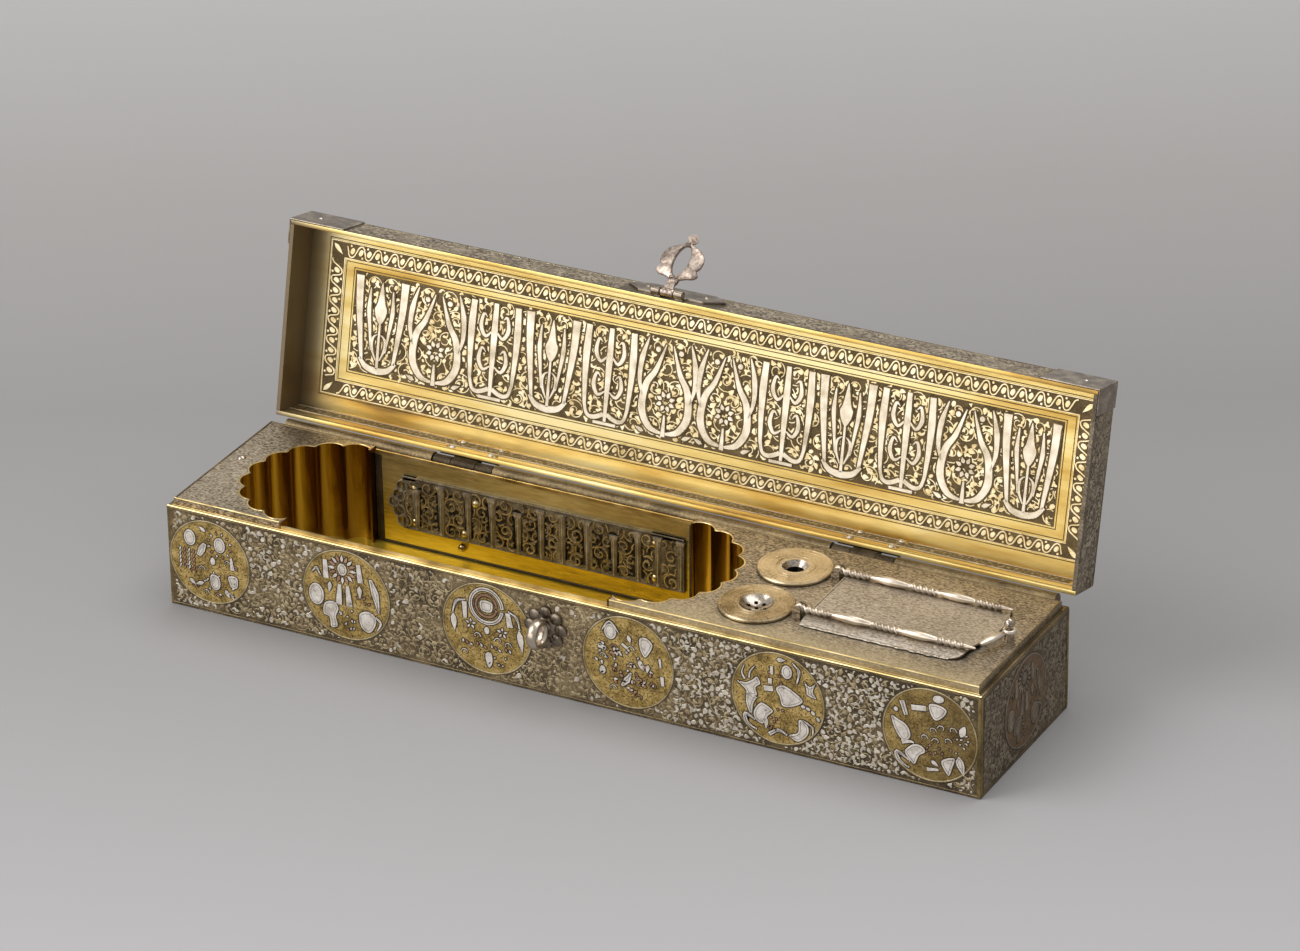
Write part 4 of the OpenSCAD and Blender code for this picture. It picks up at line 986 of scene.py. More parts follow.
def box_inlay():
    inlay = Inlay()
    reach, end_reach = HALF_L - EDGE_STRIP, HALF_W - EDGE_STRIP
    rounds = [(x, MEDALLION_Z, r + MEDALLION_GAP) for x, r in MEDALLION_PLACES]
    area = (-reach, FIELD_LOW, reach, FIELD_HIGH)
    inlay.field(FRONT, area, [*rounds, (STAPLE.x, STAPLE.z, ROSETTE_R - 0.5)], [], 11, FRONT_SILVER)
    boxes = hinge_boxes(0, box_mm("wall_hinge_leaves")[0].z, WALL_H)
    back_rounds = [r for r in rounds if not any(a - r[2] < r[0] < b + r[2] for a, _, b, _ in boxes)]
    inlay.field(BACK, area, back_rounds, boxes, 21, BACK_SILVER)
    for k, ((x, r), art) in enumerate(zip(MEDALLION_PLACES, MEDALLIONS)):
        inlay.medallion(FRONT, x, MEDALLION_Z, r, art, 40 + k)
    for k, (x, z, r) in enumerate(back_rounds):
        inlay.medallion(BACK, x, z, r - MEDALLION_GAP, MEDALLIONS[(k + 2) % len(MEDALLIONS)], 50 + k)
    end_area = (-end_reach, FIELD_LOW, end_reach, FIELD_HIGH)
    end_round = (0, MEDALLION_Z, END_MEDALLION_R + MEDALLION_GAP)
    for side, place in enumerate((LEFT, RIGHT)):
        inlay.field(place, end_area, [end_round], [], 31 + side, worn=False)
        inlay.medallion(place, 0, MEDALLION_Z, END_MEDALLION_R, MEDALLIONS[side], 60 + side, worn=True)
    inlay.keep("box", "end_leaf")


box_inlay()


# Lines along the ledge, the decks and the edges of the walls

# Two lines round the ledge: how far in, how wide and how high
LEDGE_LINES = ((0.65, 1.0, 0.16), (1.75, 0.4, 0.12))
# Lines along the upper and the lower edge of each wall: place and height
WALL_LINES = ((WALL_H - 0.75, 0.12), (0.9, 0.1))
CORNER_IN, CORNER_W = 0.75, 1.3
DECK_LINE_W = 0.8
LIP_IN, LIP_W, LIP_H = 2.4, 0.8, 1.2
BEAD_R = 2.9
BEAD_END = 6
BEAD_FOOT, BEAD_FOOT_H = 2.8, 2.6
HINGE_GAP = 0.6
# Strips of painted shade in the corners where the liners meet: foot, top and how wide they are at each
JOINT_FOOT, JOINT_TOP = 4.2, WALL_H - 0.4
JOINT_FOOT_W, JOINT_TOP_W = 3.0, 2.6
LOBE_MID = 26.34
LOBE_R = 6.26
LOBE_SWEEP = 52
LOBE_STEPS = 8


def lobed_rim(x, way):
    """The edge of a deck round one scalloped end of the trough."""
    rim = []
    for k in range(LOBE_N):
        middle = 90 + LOBE_STEP * (k + 0.5)
        m = math.radians(middle)
        for step in range(LOBE_STEPS + 1):
            a = math.radians(middle + LOBE_SWEEP * (2 * step / LOBE_STEPS - 1))
            across = LOBE_MID * math.cos(m) + LOBE_R * math.cos(a)
            rim.append((x + way * across, LOBE_MID * math.sin(m) + LOBE_R * math.sin(a)))
    return rim


def box_lines():
    lines, edges, corners, joints = (Relief() for _ in range(4))
    for inwards, width, height in LEDGE_LINES:
        x, y = HALF_L - inwards, HALF_W - inwards
        lines.ridge(LEDGE, [(-x - width / 2, -y), (x + width / 2, -y)], width, height)
        edges.ridge(LEDGE, [(x, -y), (x, y), (-x, y), (-x, -y)], width, height - 0.02)
    for place, half in ((FRONT, HALF_L), (BACK, HALF_L), (LEFT, HALF_W), (RIGHT, HALF_W)):
        for z, height in WALL_LINES:
            edges.ridge(place, [(0.3 - half, z), (half - 0.3, z)], 0.6, height)
        for x in (CORNER_IN - half, half - CORNER_IN):
            corners.ridge(place, [(x, 0.6), (x, WALL_H - 0.5)], CORNER_W, 0.14)
    for node in ("left_deck", "right_deck"):
        low, high = box_mm(node)
        inner, outer = sorted((low.x, high.x), key=abs)
        x, y = outer - math.copysign(DECK_LINE_W / 2, outer), high.y - DECK_LINE_W / 2
        lines.ridge(DECK, [(inner, -y), (outer, -y)], DECK_LINE_W, 0.22)
        edges.ridge(DECK, [(x, -y), (x, y), (inner, y)], DECK_LINE_W, 0.2)
    stops = [BEAD_END - HALF_L] + [x for low, _, high, _ in hinge_boxes(HINGE_GAP, 0, 0) for x in (low, high)]
    stops.append(HALF_L - BEAD_END)
    foot = face((0, 0, WALL_H - BEAD_FOOT), X, Y)
    for x0, x1 in zip(stops[::2], stops[1::2]):
        edges.shape(foot, rectangle(x0, HALF_W - 0.1, x1, HALF_W + 2), BEAD_FOOT_H, 0.2, base=0)
        bead = disc(0, 0, BEAD_R, sides=24)
        edges.tube(Matrix.Translation(LID_HINGE) @ MILLIMETRES, [section(x, bead) for x in (x0, x1)])
    for side in (-1, 1):
        wall = face((0, side * LINER_Y, 0), side * X, Z)
        ends = sorted(side * x for x in TROUGH)
        # Painted shade: dark strips up the corners where the liners meet, and a dark line along their foot
        for x, way in zip(ends, (1, -1)):
            foot_x, top_x = x + way * JOINT_FOOT_W, x + way * JOINT_TOP_W
            strip = [(x, JOINT_FOOT), (foot_x, JOINT_FOOT), (top_x, JOINT_TOP), (x, JOINT_TOP)]
            joints.shape(wall, strip, 0.35, 0.3)
        joints.ridge(wall, [(x, FLOOR_Z + 0.5) for x in ends], 1.0, 0.5)
        y = side * (HALF_W - LIP_IN)
        lines.shape(LEDGE, rectangle(TROUGH[0], y - LIP_W / 2, TROUGH[1], y + LIP_W / 2), LIP_H, 0.1)
    for x, way in zip(TROUGH, (1, -1)):
        lines.ridge(DECK, lobed_rim(x, way), 0.6, 0.12)
    lines.keep("gold_lines", "box", "trough_brass", "gold_line", sharp=30)
    edges.keep("bare_edges", "box", "inlaid_brass", "base_brass")
    corners.keep("corner_edges", "box", "inlaid_brass", "edge_brass")
    joints.keep("liner_corner_shade_strips", "box", "trough_brass", "dark_line")


box_lines()


# Tracery in the frieze's windows

FRIEZE_LOW, FRIEZE_HIGH = box_mm("frieze_plaque")
FRIEZE = face((0, FRIEZE_LOW.y, 0), X, Z)
FRIEZE_BEHIND = face((0, FRIEZE_HIGH.y, 0), X, Z)
FRIEZE_BAYS = 15
FRIEZE_WINDOW = 4.26
FRIEZE_COLUMNS = (-96.5, -86.4, -75.2, -65.4, -54.7, -45.3, -36.6, -26.6, -15.7, -6.0, 2.0, 11.2)
FRIEZE_STUDS = [(-71.9, 28.4), (-76.8, 15.1), (-78.2, 9.0)]
FRIEZE_RISE = 1.4
# How far the tracery stops short of the plaque's left end and of the trough's right end
FRIEZE_LEFT, FRIEZE_RIGHT = 5, 4.4
RAIL_H, RAIL_LAP = 1.6, 0.3
COLUMN_HALF = 1.3
# Rings of the left end: how far left, how far up or down, and radius
FRIEZE_RINGS = ((0.4, 7, 2.2), (1.8, 3.2, 2.4), (4.0, 0, 2.0), (1.8, -3.2, 2.4), (0.4, -7, 2.2))


def frieze_tracery():
    """Columns, scrolls and leaves over the plaque and across its windows, with painted shade behind the
    windows, in the columns' grooves and in dark leaves and petals that stand for holes.
    """
    tracery, columns, gilt, shade, studs = (Relief() for _ in range(5))
    depth = FRIEZE_HIGH.y - FRIEZE_LOW.y
    middle = (FRIEZE_LOW.x + FRIEZE_HIGH.x) / 2
    level = (FRIEZE_LOW.z + FRIEZE_HIGH.z) / 2
    foot, head = FRIEZE_LOW.z, FRIEZE_HIGH.z + FRIEZE_RISE
    tip_l = (FRIEZE_HIGH.z - FRIEZE_LOW.z) / 2
    reach = (FRIEZE_HIGH.x - FRIEZE_LOW.x) / 2 - tip_l
    first, last = middle - reach, middle + reach
    left, right = FRIEZE_LOW.x + FRIEZE_LEFT, TROUGH[1] - FRIEZE_RIGHT
    rails = ((left, first + RAIL_LAP, foot), (last - RAIL_LAP, right, foot), (left, right, head - RAIL_H))
    for x0, x1, z0 in rails:
        tracery.shape(FRIEZE, rectangle(x0, z0, x1, head), -0.03, 0.0, base=-depth)
    # Painted shade: a dark sheet across the back of the windows
    shade.shape(FRIEZE_BEHIND, rectangle(first, foot, last, head - FRIEZE_RISE), 0.05, 0.0)

    def in_window(x):
        bay = 2 * reach / FRIEZE_BAYS
        return abs(x - middle) < reach and abs((x - middle + reach) % bay - bay / 2) < FRIEZE_WINDOW / 2

    shafts = [(x - COLUMN_HALF, foot, x + COLUMN_HALF, head) for x in FRIEZE_COLUMNS]
    rng = random.Random(121)
    stems, leaves = scrolls((left + 0.6, foot + 0.6, right - 0.6, head - 0.6), [], shafts, 6.4, 1.75, 120)
    for line in stems:
        gilt.ridge(FRIEZE, line, 0.7, 0.3, base=-0.6)
    for x, z, heading, length in leaves:
        outline = scroll_leaf(x, z, heading, length, rng)
        # Leaves in the windows are tracery; most others are dark, painted shade standing for holes in the
        # plaque
        if in_window(x):
            if rng.random() < 0.7:
                tracery.shape(FRIEZE, outline, 0.05, 0.15, base=-depth)
        elif rng.random() < 0.8:
            shade.shape(FRIEZE, outline, 0.05, 0.0)
    for k, x in enumerate(FRIEZE_COLUMNS):
        tall = head - foot - (1.6 if k % 4 else 5.0)
        columns.shape(FRIEZE, bar(x, foot + 0.5, 90, tall, 1.7, 2.9), 0.6, 0.5)
        for side in (-1, 1):
            capital = leaf(x + 0.6 * side, foot + tall - 1.6, 90 - 30 * side, 2.6, 1.3)
            columns.shape(FRIEZE, capital, 0.75, 0.3)
            # Painted shade: a dark line down each column's groove
            groove = [(x + 0.35 * side, foot + 1.5), (x + 0.5 * side, foot + tall - 1)]
            shade.ridge(FRIEZE, groove, 0.22, 0.66, base=0.5)
    for out, up, radius in FRIEZE_RINGS:
        ring = disc(left - out, level + up, radius, sides=20)
        columns.ridge(FRIEZE, ring, 0.7, 0.35, closed=True, base=-depth)
    # Painted shade: dark petals standing for holes at the plaque's left end
    for k in range(5):
        petal = leaf(left - 2.8 + 0.5 * (k % 2), level + 1.8 * (k - 2), 40 * (k - 2), 2.4, 1.3)
        shade.shape(FRIEZE, petal, 0.05, 0.0)
    tracery.ridge(FRIEZE, rectangle(left, foot + 0.3, right, head - 0.3), 0.6, 0.3, closed=True)
    for x, z in FRIEZE_STUDS:
        studs.dome(FRIEZE, x, z, 1.5, 1.3, base=-depth)
    studs.keep("frieze_studs", "box", "rivet_brass", "rivet_brass")
    tracery.keep("frieze_tracery", "box", "pierced_brass", "pierced_brass")
    columns.keep("frieze_columns", "box", "pierced_brass", "column_brass")
    gilt.keep("frieze_scrolls", "box", "pierced_brass", "frieze_vine")
    shade.keep("frieze_shadow", "box", "pierced_brass", "dark_line")


frieze_tracery()


# Inside of the lid: rectangles by half length, lower and upper edge

BORDER_OUT = (152.0, 8.0, 65.7)
BORDER_IN = (146.3, 13.4, 59.7)
PANEL = (141.3, 18.2, 56.2)
BORDER_CORNER = 3.3
VINE_PERIOD = 7.0
VINE_SWING = 2.1
VINE_LEAD = 2.65
VINE = [(-2.2, -2.1), (-1.0, -1.6), (0, 0), (1.0, 1.6), (2.2, 2.1), (3.1, 1.5), (3.5, 0), (3.9, -1.5)]
VINE_LOBE = [(0.9, 0.2), (1.6, 1.15), (2.5, 1.0), (2.8, 0.1), (2.3, -0.9), (1.3, -1.3), (0.7, -0.6)]
STRIP_LOW, STRIP_HIGH = 6.8, 12.6
# Heads of the hinges' rivets: how far either side of a hinge's middle, and the lower row's level
RIVET_ASIDE, RIVET_LOW = 8, 3.6


def border_vine(vine, buds, start, end, width):
    """A waving vine along the border from start to end, with two leaves and two buds in each wave."""
    (ax, ay), (bx, by) = start, end
    length = math.hypot(bx - ax, by - ay)
    heading = math.degrees(math.atan2(by - ay, bx - ax))
    waves = round(length / VINE_PERIOD)
    grow_x, grow_y = length / waves / VINE_PERIOD, (width / 2 - 0.7) / VINE_SWING

    def drawn(points, wave):
        lead = VINE_PERIOD * wave + VINE_LEAD
        return turned([((lead + x) * grow_x, y * grow_y) for x, y in points], ax, ay, heading)

    knots = [knot for wave in range(waves) for knot in drawn(VINE, wave)]
    vine.ridge(LID_INSIDE, curve(knots, steps=3), 0.8, 0.3)
    one_side = [curve(VINE_LOBE, closed=True, steps=2), disc(2.4, -1.8, 0.55, sides=8)]
    other_side = [[(VINE_PERIOD - x, -y) for x, y in outline] for outline in one_side]
    for wave in range(waves):
        for outline in one_side + (other_side if wave + 1 < waves else []):
            buds.shape(LID_INSIDE, drawn(outline, wave), 0.2, 0.14)


def both_sides(half):
    return half + [mirrored(outline) for outline in half]


def cypress_unit():
    """Tall cypresses either side of a blossom, over a crescent."""
    half = [
        sweep([(6.6, 23.4), (7.8, 33), (9.0, 44), (9.4, 55.0)], 1.5, 2.3, 3.1, 3.5),
        sweep([(3.0, 27.5), (4.0, 35.5), (4.9, 43), (4.6, 51)], 0.8, 1.6, 2.1, 0.8),
        sweep([(0.7, 24.0), (2.6, 28.6), (2.4, 32.4), (0.6, 34.0)], 0.7, 1.5, 1.3, 0.5),
    ]
    whole = [
        sweep([(-7.6, 24.4), (-4.6, 21.2), (0, 20.2), (4.6, 21.2), (7.6, 24.4)], 1.5, 2.5, 2.9, 2.5, 1.5),
        stroke([(0, 21), (0, 38)], 1.6, 1.2),
        blob((0, 37.6), (1.9, 40), (2.7, 43.4), (1.7, 46), (0, 54), (-1.7, 46), (-2.7, 43.4), (-1.9, 40)),
    ]
    return both_sides(half) + whole


def split_leaf_unit():
    """Two great split leaves that meet round a rosette."""
    half = [
        sweep([(0.8, 20.6), (5.8, 22.2), (9.2, 28.4), (8.2, 37.6), (4.8, 43.4), (1.4, 53.4)],
              1.2, 2.7, 3.3, 2.9, 2.3, 0.7),
        sweep([(9.4, 33), (11.0, 39), (10.6, 47), (8.4, 55)], 0.8, 2.0, 2.5, 0.7),
        leaf(7.4, 20.0, 14, 4.4, 2.0, 0.12), disc(4.6, 51.0, 1.2, sides=12),
    ]
    petals = [leaf(*p, 2.8, 2.0) for p in round_about(0, 32.4, 1.4, 8, 22.5)]
    return both_sides(half) + petals + [stroke([(0, 19.4), (0, 27.4)], 2.2, 1.1)]


def candelabrum_unit():
    """Three tall shafts on a stand, with curling arms between them."""
    half = [
        sweep([(8.6, 25.4), (9.2, 35), (9.4, 45), (9.0, 55.0)], 1.6, 2.4, 3.2, 2.6),
        sweep([(0.6, 23), (4.6, 21.2), (7.4, 22), (8.6, 25.8)], 2.0, 2.0, 1.7, 1.6),
        sweep([(0.9, 31.4), (3.7, 29.8), (5.6, 33.4), (4.6, 37.8), (2.8, 36.2)], 0.8, 1.6, 2.0, 1.4, 0.5),
        sweep([(0.9, 44.6), (3.5, 42.2), (5.6, 45.6), (4.8, 50.4), (3.2, 49.2)], 0.8, 1.6, 2.0, 1.4, 0.5),
    ]
    whole = [
        stroke([(0, 20.2), (0, 30), (0, 43), (0, 55.0)], 1.6, 2.2, 3.0, 2.2),
        stroke([(-4.6, 19.5), (4.6, 19.5)], 1.5, 1.5),
    ]
    return both_sides(half) + whole


PANEL_UNITS = [cypress_unit, split_leaf_unit, candelabrum_unit]
PANEL_UNITS += [cypress_unit, candelabrum_unit, split_leaf_unit]
PANEL_UNITS += PANEL_UNITS[::-1]


def lid_border(grounds, vines, buds, lines):
    """The dark border with its vine, and the lines round it and round the panel."""
    (ox, ol, oh), (ix, il, ih) = BORDER_OUT, BORDER_IN
    for corners in ((-ox, ol, ox, il), (-ox, ih, ox, oh), (-ox, il, -ix, ih), (ix, il, ox, ih)):
        grounds.shape(LID_INSIDE, rectangle(*corners), 0.04, 0.0)
    for half, low, high in (BORDER_OUT, BORDER_IN):
        vines.ridge(LID_INSIDE, rectangle(-half, low, half, high), 0.55, 0.16, closed=True)
    for (half, low, high), grow in ((BORDER_OUT, 0.8), (BORDER_IN, -0.9), (PANEL, 0.7)):
        outline = rectangle(-half - grow, low - grow, half + grow, high + grow)
        lines.ridge(LID_INSIDE, outline, 0.42, 0.12, closed=True)
    half, low, high = ((a + b) / 2 for a, b in zip(BORDER_OUT, BORDER_IN))
    side_w, low_w, high_w = (abs(a - b) for a, b in zip(BORDER_OUT, BORDER_IN))
    x, y0, y1 = half - BORDER_CORNER, low + BORDER_CORNER, high - BORDER_CORNER
    border_vine(vines, buds, (-x, low), (x, low), low_w)
    border_vine(vines, buds, (half, y0), (half, y1), side_w)
    border_vine(vines, buds, (x, high), (-x, high), high_w)
    border_vine(vines, buds, (-half, y1), (-half, y0), side_w)
    for side in (-1, 1):
        for level, tilt in ((low - 2.0, 45), (high + 2.0, -45)):
            heading = tilt if side < 0 else 180 - tilt
            buds.shape(LID_INSIDE, leaf(side * (half + 2.0), level, heading, 5.6, 2.0), 0.2, 0.15)


def lid_strip(lines, rng):
    """A worn strip of leaves along the inside of the back skirt, with the heads of the hinges' rivets."""
    ground, leaves, rivets = (Relief() for _ in range(3))
    reach, ends = BORDER_OUT[0] + 2, HALF_L - 2
    ground.shape(LID_REAR, rectangle(-reach, STRIP_LOW, reach, STRIP_HIGH), 0.04, 0.0)
    area = (-reach + 1, STRIP_LOW + 0.2, reach - 1, STRIP_HIGH - 0.2)
    for x, y, heading, length in scrolls(area, [], [], 5.0, 1.7, 75)[1]:
        leaves.shape(LID_REAR, scroll_leaf(x, y, heading, length, rng), 0.12, 0.2)
    for level in (STRIP_LOW - 0.4, STRIP_HIGH + 0.4):
        leaves.ridge(LID_REAR, [(-ends, level), (ends, level)], 0.6, 0.25)
    for level in (STRIP_LOW - 1.2, STRIP_HIGH + 1.0, 1.3):
        lines.ridge(LID_REAR, [(-ends, level), (ends, level)], 0.4, 0.06)
    for x in (side * HINGE_X + aside for side in (-1, 1) for aside in (-RIVET_ASIDE, RIVET_ASIDE)):
        for level in (RIVET_LOW, STRIP_HIGH - 0.6):
            rivets.dome(LID_REAR, x, level, 1.2, 0.8, 12, 3)
    ground.keep("lid_strip_ground", "lid", "lid_brass", "strip_ground")
    leaves.keep("lid_strip_leaves", "lid", "lid_brass", "worn_leaf")
    rivets.keep("lid_strip_rivets", "lid", "rivet_brass", "silver_leaf")


def lid_inside():
    grounds, vines, buds, forms, rims, lines = (Relief() for _ in range(6))
    lid_border(grounds, vines, buds, lines)
    half, low, high = PANEL
    grounds.shape(LID_INSIDE, rectangle(-half, low, half, high), 0.04, 0.0)
    for x, unit in zip(spaced(len(PANEL_UNITS), 2 * half / len(PANEL_UNITS)), PANEL_UNITS):
        for outline in unit():
            drawn = [(x + px, py) for px, py in anticlockwise(outline)]
            rims.shape(LID_INSIDE, inset(drawn, -0.55), 0.26, 0.1)
            forms.shape(LID_INSIDE, drawn, 0.5, 0.22)
    stems, leaves = scrolls((-half + 0.1, low + 0.1, half - 0.1, high - 0.1), [], [], 7.8, 2.15, 71)
    rng = random.Random(72)
    for line in stems:
        vines.ridge(LID_INSIDE, line, 0.55, 0.18)
    for x, y, heading, length in leaves:
        if rng.random() < 0.9:
            buds.shape(LID_INSIDE, scroll_leaf(x, y, heading, length, rng), 0.2, 0.16)
    lid_strip(lines, rng)
    grounds.keep("lid_dark_grounds", "lid", "lid_brass", "lid_ground")
    vines.keep("lid_vines", "lid", "lid_brass", "lid_vine")
    buds.keep("lid_leaves", "lid", "lid_brass", "lid_vine")
    rims.keep("lid_form_outlines", "lid", "lid_brass", "lid_ground")
    forms.keep("lid_silver_forms", "lid", "silver", "lid_silver")
    lines.keep("lid_engraved_lines", "lid", "lid_brass", "lid_ground")


lid_inside()


# Outside of the lid

LID_MEDALLION_R = 20
LID_MEDALLION_N = 5
LID_MEDALLION_PITCH = 61
CAP_L, CAP_W = 22.6, 9.4
SKIRT_EDGE = 1.0
TOP_SILVER, SKIRT_SILVER = (0.35, 0.35), (0.2, 0.2)


def lid_inlay():
    inlay = Inlay()
    reach, middle = HALF_L - EDGE_STRIP, LID_W / 2
    places = spaced(LID_MEDALLION_N, LID_MEDALLION_PITCH)
    rounds = [(x, middle, LID_MEDALLION_R + MEDALLION_GAP) for x in places]
    area = (-reach, EDGE_STRIP, reach, LID_W - EDGE_STRIP)
    inlay.field(LID_TOP, area, rounds, [], 81, TOP_SILVER, pitch=9.0)
    for k, x in enumerate(places):
        inlay.medallion(LID_TOP, x, middle, LID_MEDALLION_R, MEDALLIONS[k + 1], 90 + k)
    low, high = SKIRT_EDGE, LID_DEPTH - SKIRT_EDGE
    plate_low, plate_high = shut_box("hasp_plate")
    plate_box = (plate_low.x, 0, plate_high.x, LID_DEPTH)
    inlay.field(LID_FRONT, (CAP_L - HALF_L, low, HALF_L - CAP_L, high), [], [plate_box], 101, worn=False)
    inlay.field(LID_BACK, (-reach, low, reach, high), [], hinge_boxes(0.2, 0, LID_DEPTH), 102, SKIRT_SILVER)
    front_end, back_end = LID_LOW.y + CAP_W, LID_HIGH.y - EDGE_STRIP
    inlay.field(LID_LEFT, (-back_end, low, -front_end, high), [], [], 103, worn=False)
    inlay.field(LID_RIGHT, (front_end, low, back_end, high), [], [], 104, worn=False)
    inlay.keep("lid", "dull_leaf")


lid_inlay()


# Nails of the caps and rings of the pots

# Turned rings of a pot: radius, width and height
POT_RINGS = ((12.5, 0.5, 0.14), (10.9, 0.3, 0.08), (8.4, 0.3, 0.08), (6.9, 0.7, 0.22))


def fittings():
    nails = Relief()
    for side in (-1, 1):
        nails.dome(LID_FRONT, side * (HALF_L - 8), LID_DEPTH / 2, 1.1, 1.0)
    nails.keep("cap_nails", "lid", "silver", "silver")
    for pot in ("ink", "sand"):
        middle = middle_of(pot + "_flange")
        top = face((middle.x, middle.y, box_mm(pot + "_flange")[1].z), X, Y)
        rings = Relief()
        for radius, width, height in POT_RINGS:
            rings.ridge(top, disc(0, 0, radius, sides=64), width, height, closed=True)
        rings.keep(pot + "_turned_rings", pot + "_pot", "pot_brass", "pot_brass")


fittings()


# Rosette and staple

PETAL_N = 8
PETAL_R = 0.3 * ROSETTE_R
RING_R, RING_THICK, RING_BROAD = 4.4, 1.05, 1.95
RING_OUT = 4.6
# The shank's radius and height at its foot, waist and tip
SHANK = ((2.4, 0.4), (1.8, 1.4), (1.6, 2.4))


def rosette():
    petals = Relief()
    for x, y, _ in round_about(STAPLE.x, STAPLE.z, ROSETTE_R - PETAL_R, PETAL_N):
        petals.dome(FRONT, x, y, PETAL_R, 1.1, 16, 5)
        petals.ridge(FRONT, disc(x, y, 0.9 * PETAL_R), 0.5, 0.7, closed=True)
    petals.dome(FRONT, STAPLE.x, STAPLE.z, ROSETTE_R - 1.6 * PETAL_R, 1.0, 24, 5)
    petals.keep("rosette_petals", "box", "silver", "rosette_silver", replaces=["staple_rosette"])


def staple():
    """A stout ring that stands out from the rosette, its opening to the sides."""
    ring = Relief()
    place = face((STAPLE.x, box_mm("staple_eye")[0].y + RING_OUT, STAPLE.z), Y, Z)
    ring.torus(place, RING_R, RING_THICK, RING_BROAD, 36, 16)
    ring.tube(FRONT, [lifted(disc(STAPLE.x, STAPLE.z, radius), height) for radius, height in SHANK])
    ring.keep("staple_ring", "box", "silver", "polished_silver", replaces=["staple_eye"])


rosette()
staple()


# Trim of the cover

COVER_LOBES = [(142.0, 17), (144.7, 9), (144.6, 0.5), (142.0, -7.6), (140.2, -16.2)]
COVER_LOBE_R = 4.3
EDGE_REACH = 14.4
HEM_START, HEM_END = 2, 12
HEM_WAVES, HEM_STEPS = 9, 6
HEM_DROP = 0.35
GUSSET_IN = 4


def cover_trim():
    low, high = box_mm("cover_plate")
    top = face((0, 0, high.z), X, Y)
    edge = Relief()
    edge.ridge(top, [(low.x + 0.5, -EDGE_REACH), (low.x + 0.5, EDGE_REACH)], 0.7, 0.25)
    start, end = low.x + HEM_START, high.x - HEM_END
    count = HEM_WAVES * HEM_STEPS
    hem = [(start, low.y + 0.6)]
    for k in range(count + 1):
        wave = math.sin(TAU * k / HEM_STEPS) * k / count
        hem.append((start + (end - start) * k / count, low.y - HEM_DROP - HEM_DROP * wave))
    hem.append((end, low.y + 0.6))
    edge.shape(face((0, 0, low.z), X, Y), hem, 0.5, 0.15, base=0.05)
    for (ax, ay), (bx, by) in zip(COVER_LOBES, COVER_LOBES[1:]):
        out = COVER_LOBE_R / math.hypot(bx - ax, by - ay)
        out_x, out_y = out * (ay - by), out * (bx - ax)
        inner = [(ax - GUSSET_IN, ay), (bx - GUSSET_IN, by)]
        gusset = inner + [(bx + out_x, by + out_y), (ax + out_x, ay + out_y)]
        edge.shape(top, gusset, -0.02, 0.0, base=-0.8)
    edge.keep("cover_edging", "well_cover", "cover_silver", "cover_silver")


cover_trim()


# Strap rods of the cover

ROD_SIDES = 18
ROD_STEPS = 240
ROD_TURNS = 180
ROD_WAIST, ROD_TWIST, TWIST_DEPTH = 0.75, 1.0, 0.42
# Spindles by start and end, as shares of the rod, and bulge in mm
SPINDLES = ((0.17, 0.41, 0.85), (0.56, 0.79, 0.8))
ROD_BEADS = (0.03, 0.17, 0.41, 0.56, 0.79, 0.93)
BEAD_HALF, BEAD_H = 0.008, 0.25
TIP_START, TIP_R, TIP_LOSS = 0.93, 0.9, 0.55
ROD_EYE_R = 1.7
EYE_RING = (1.22, 0.46, 1.1)


def rod_radius(t):
    """Radius in mm along a rod, and how deep its twist is cut, at a share t of its length."""
    for low, high, bulge in SPINDLES:
        if low < t < high:
            return ROD_WAIST + bulge * math.sin(math.pi * (t - low) / (high - low)), 0.0
    if t > TIP_START:
        return TIP_R - TIP_LOSS * (t - TIP_START) / (1 - TIP_START), 0.0
    return ROD_TWIST, TWIST_DEPTH


def strap_rod(node, name):
    low, high = box_mm(node)
    middle = (low + high) / 2
    start, end = low.x + 2 * ROD_EYE_R - 0.5, high.x
    rod = Relief()
    rings = []
    for k in range(ROD_STEPS + 1):
        t = k / ROD_STEPS
        radius, twist = rod_radius(t)
        bead = max(0.0, 1 - min(abs(t - place) for place in ROD_BEADS) / BEAD_HALF)
        outline = []
        for j in range(ROD_SIDES):
            angle = TAU * j / ROD_SIDES
            r = radius * (1 + twist * math.sin(2 * angle - ROD_TURNS * t)) + BEAD_H * bead
            outline.append((middle.y + r * math.cos(angle), middle.z + r * math.sin(angle)))
        rings.append(section(start + (end - start) * t, outline))
    rod.tube(MILLIMETRES, rings)
    rod.torus(face((low.x + ROD_EYE_R, middle.y, middle.z), X, Z), *EYE_RING)
    rod.keep(name, "well_cover", "silver", "polished_silver", sharp=70, replaces=[node])


strap_rod("cover_front_rod", "front_strap_rod")
strap_rod("cover_rear_rod", "rear_strap_rod")


# Latch

LATCH_HEADING = math.radians(250)
LATCH_START, LATCH_END = 2.2, 14.2
LATCH_STEPS = 24
# The spindle's radius at its ends, what its middle has more, and how much wider it is than high
SPINDLE_END, SPINDLE_MORE, SPINDLE_FLAT = 0.5, 0.8, 1.35
LATCH_RING = (1.85, 0.7, 0.95)


def latch():
    """A spindle that swings from a ring round its pin."""
    pin = middle_of("latch_pin")
    place = face((pin.x, pin.y, middle_of("latch_arm").z), X, Y) @ Matrix.Rotation(LATCH_HEADING, 4, "Z")
    spindle = Relief()
    rings = []
    for k in range(LATCH_STEPS + 1):
        s = k / LATCH_STEPS
        r = SPINDLE_END + SPINDLE_MORE * math.sin(math.pi * s) ** 0.8
        outline = disc(0, 0, SPINDLE_FLAT * r, r, sides=14)
        rings.append(section(LATCH_START + (LATCH_END - LATCH_START) * s, outline))
    spindle.tube(place, rings)
    spindle.torus(place, *LATCH_RING)
    spindle.keep("latch_spindle", "latch", "silver", "polished_silver", sharp=60, replaces=["latch_arm"])


latch()


# Hasp

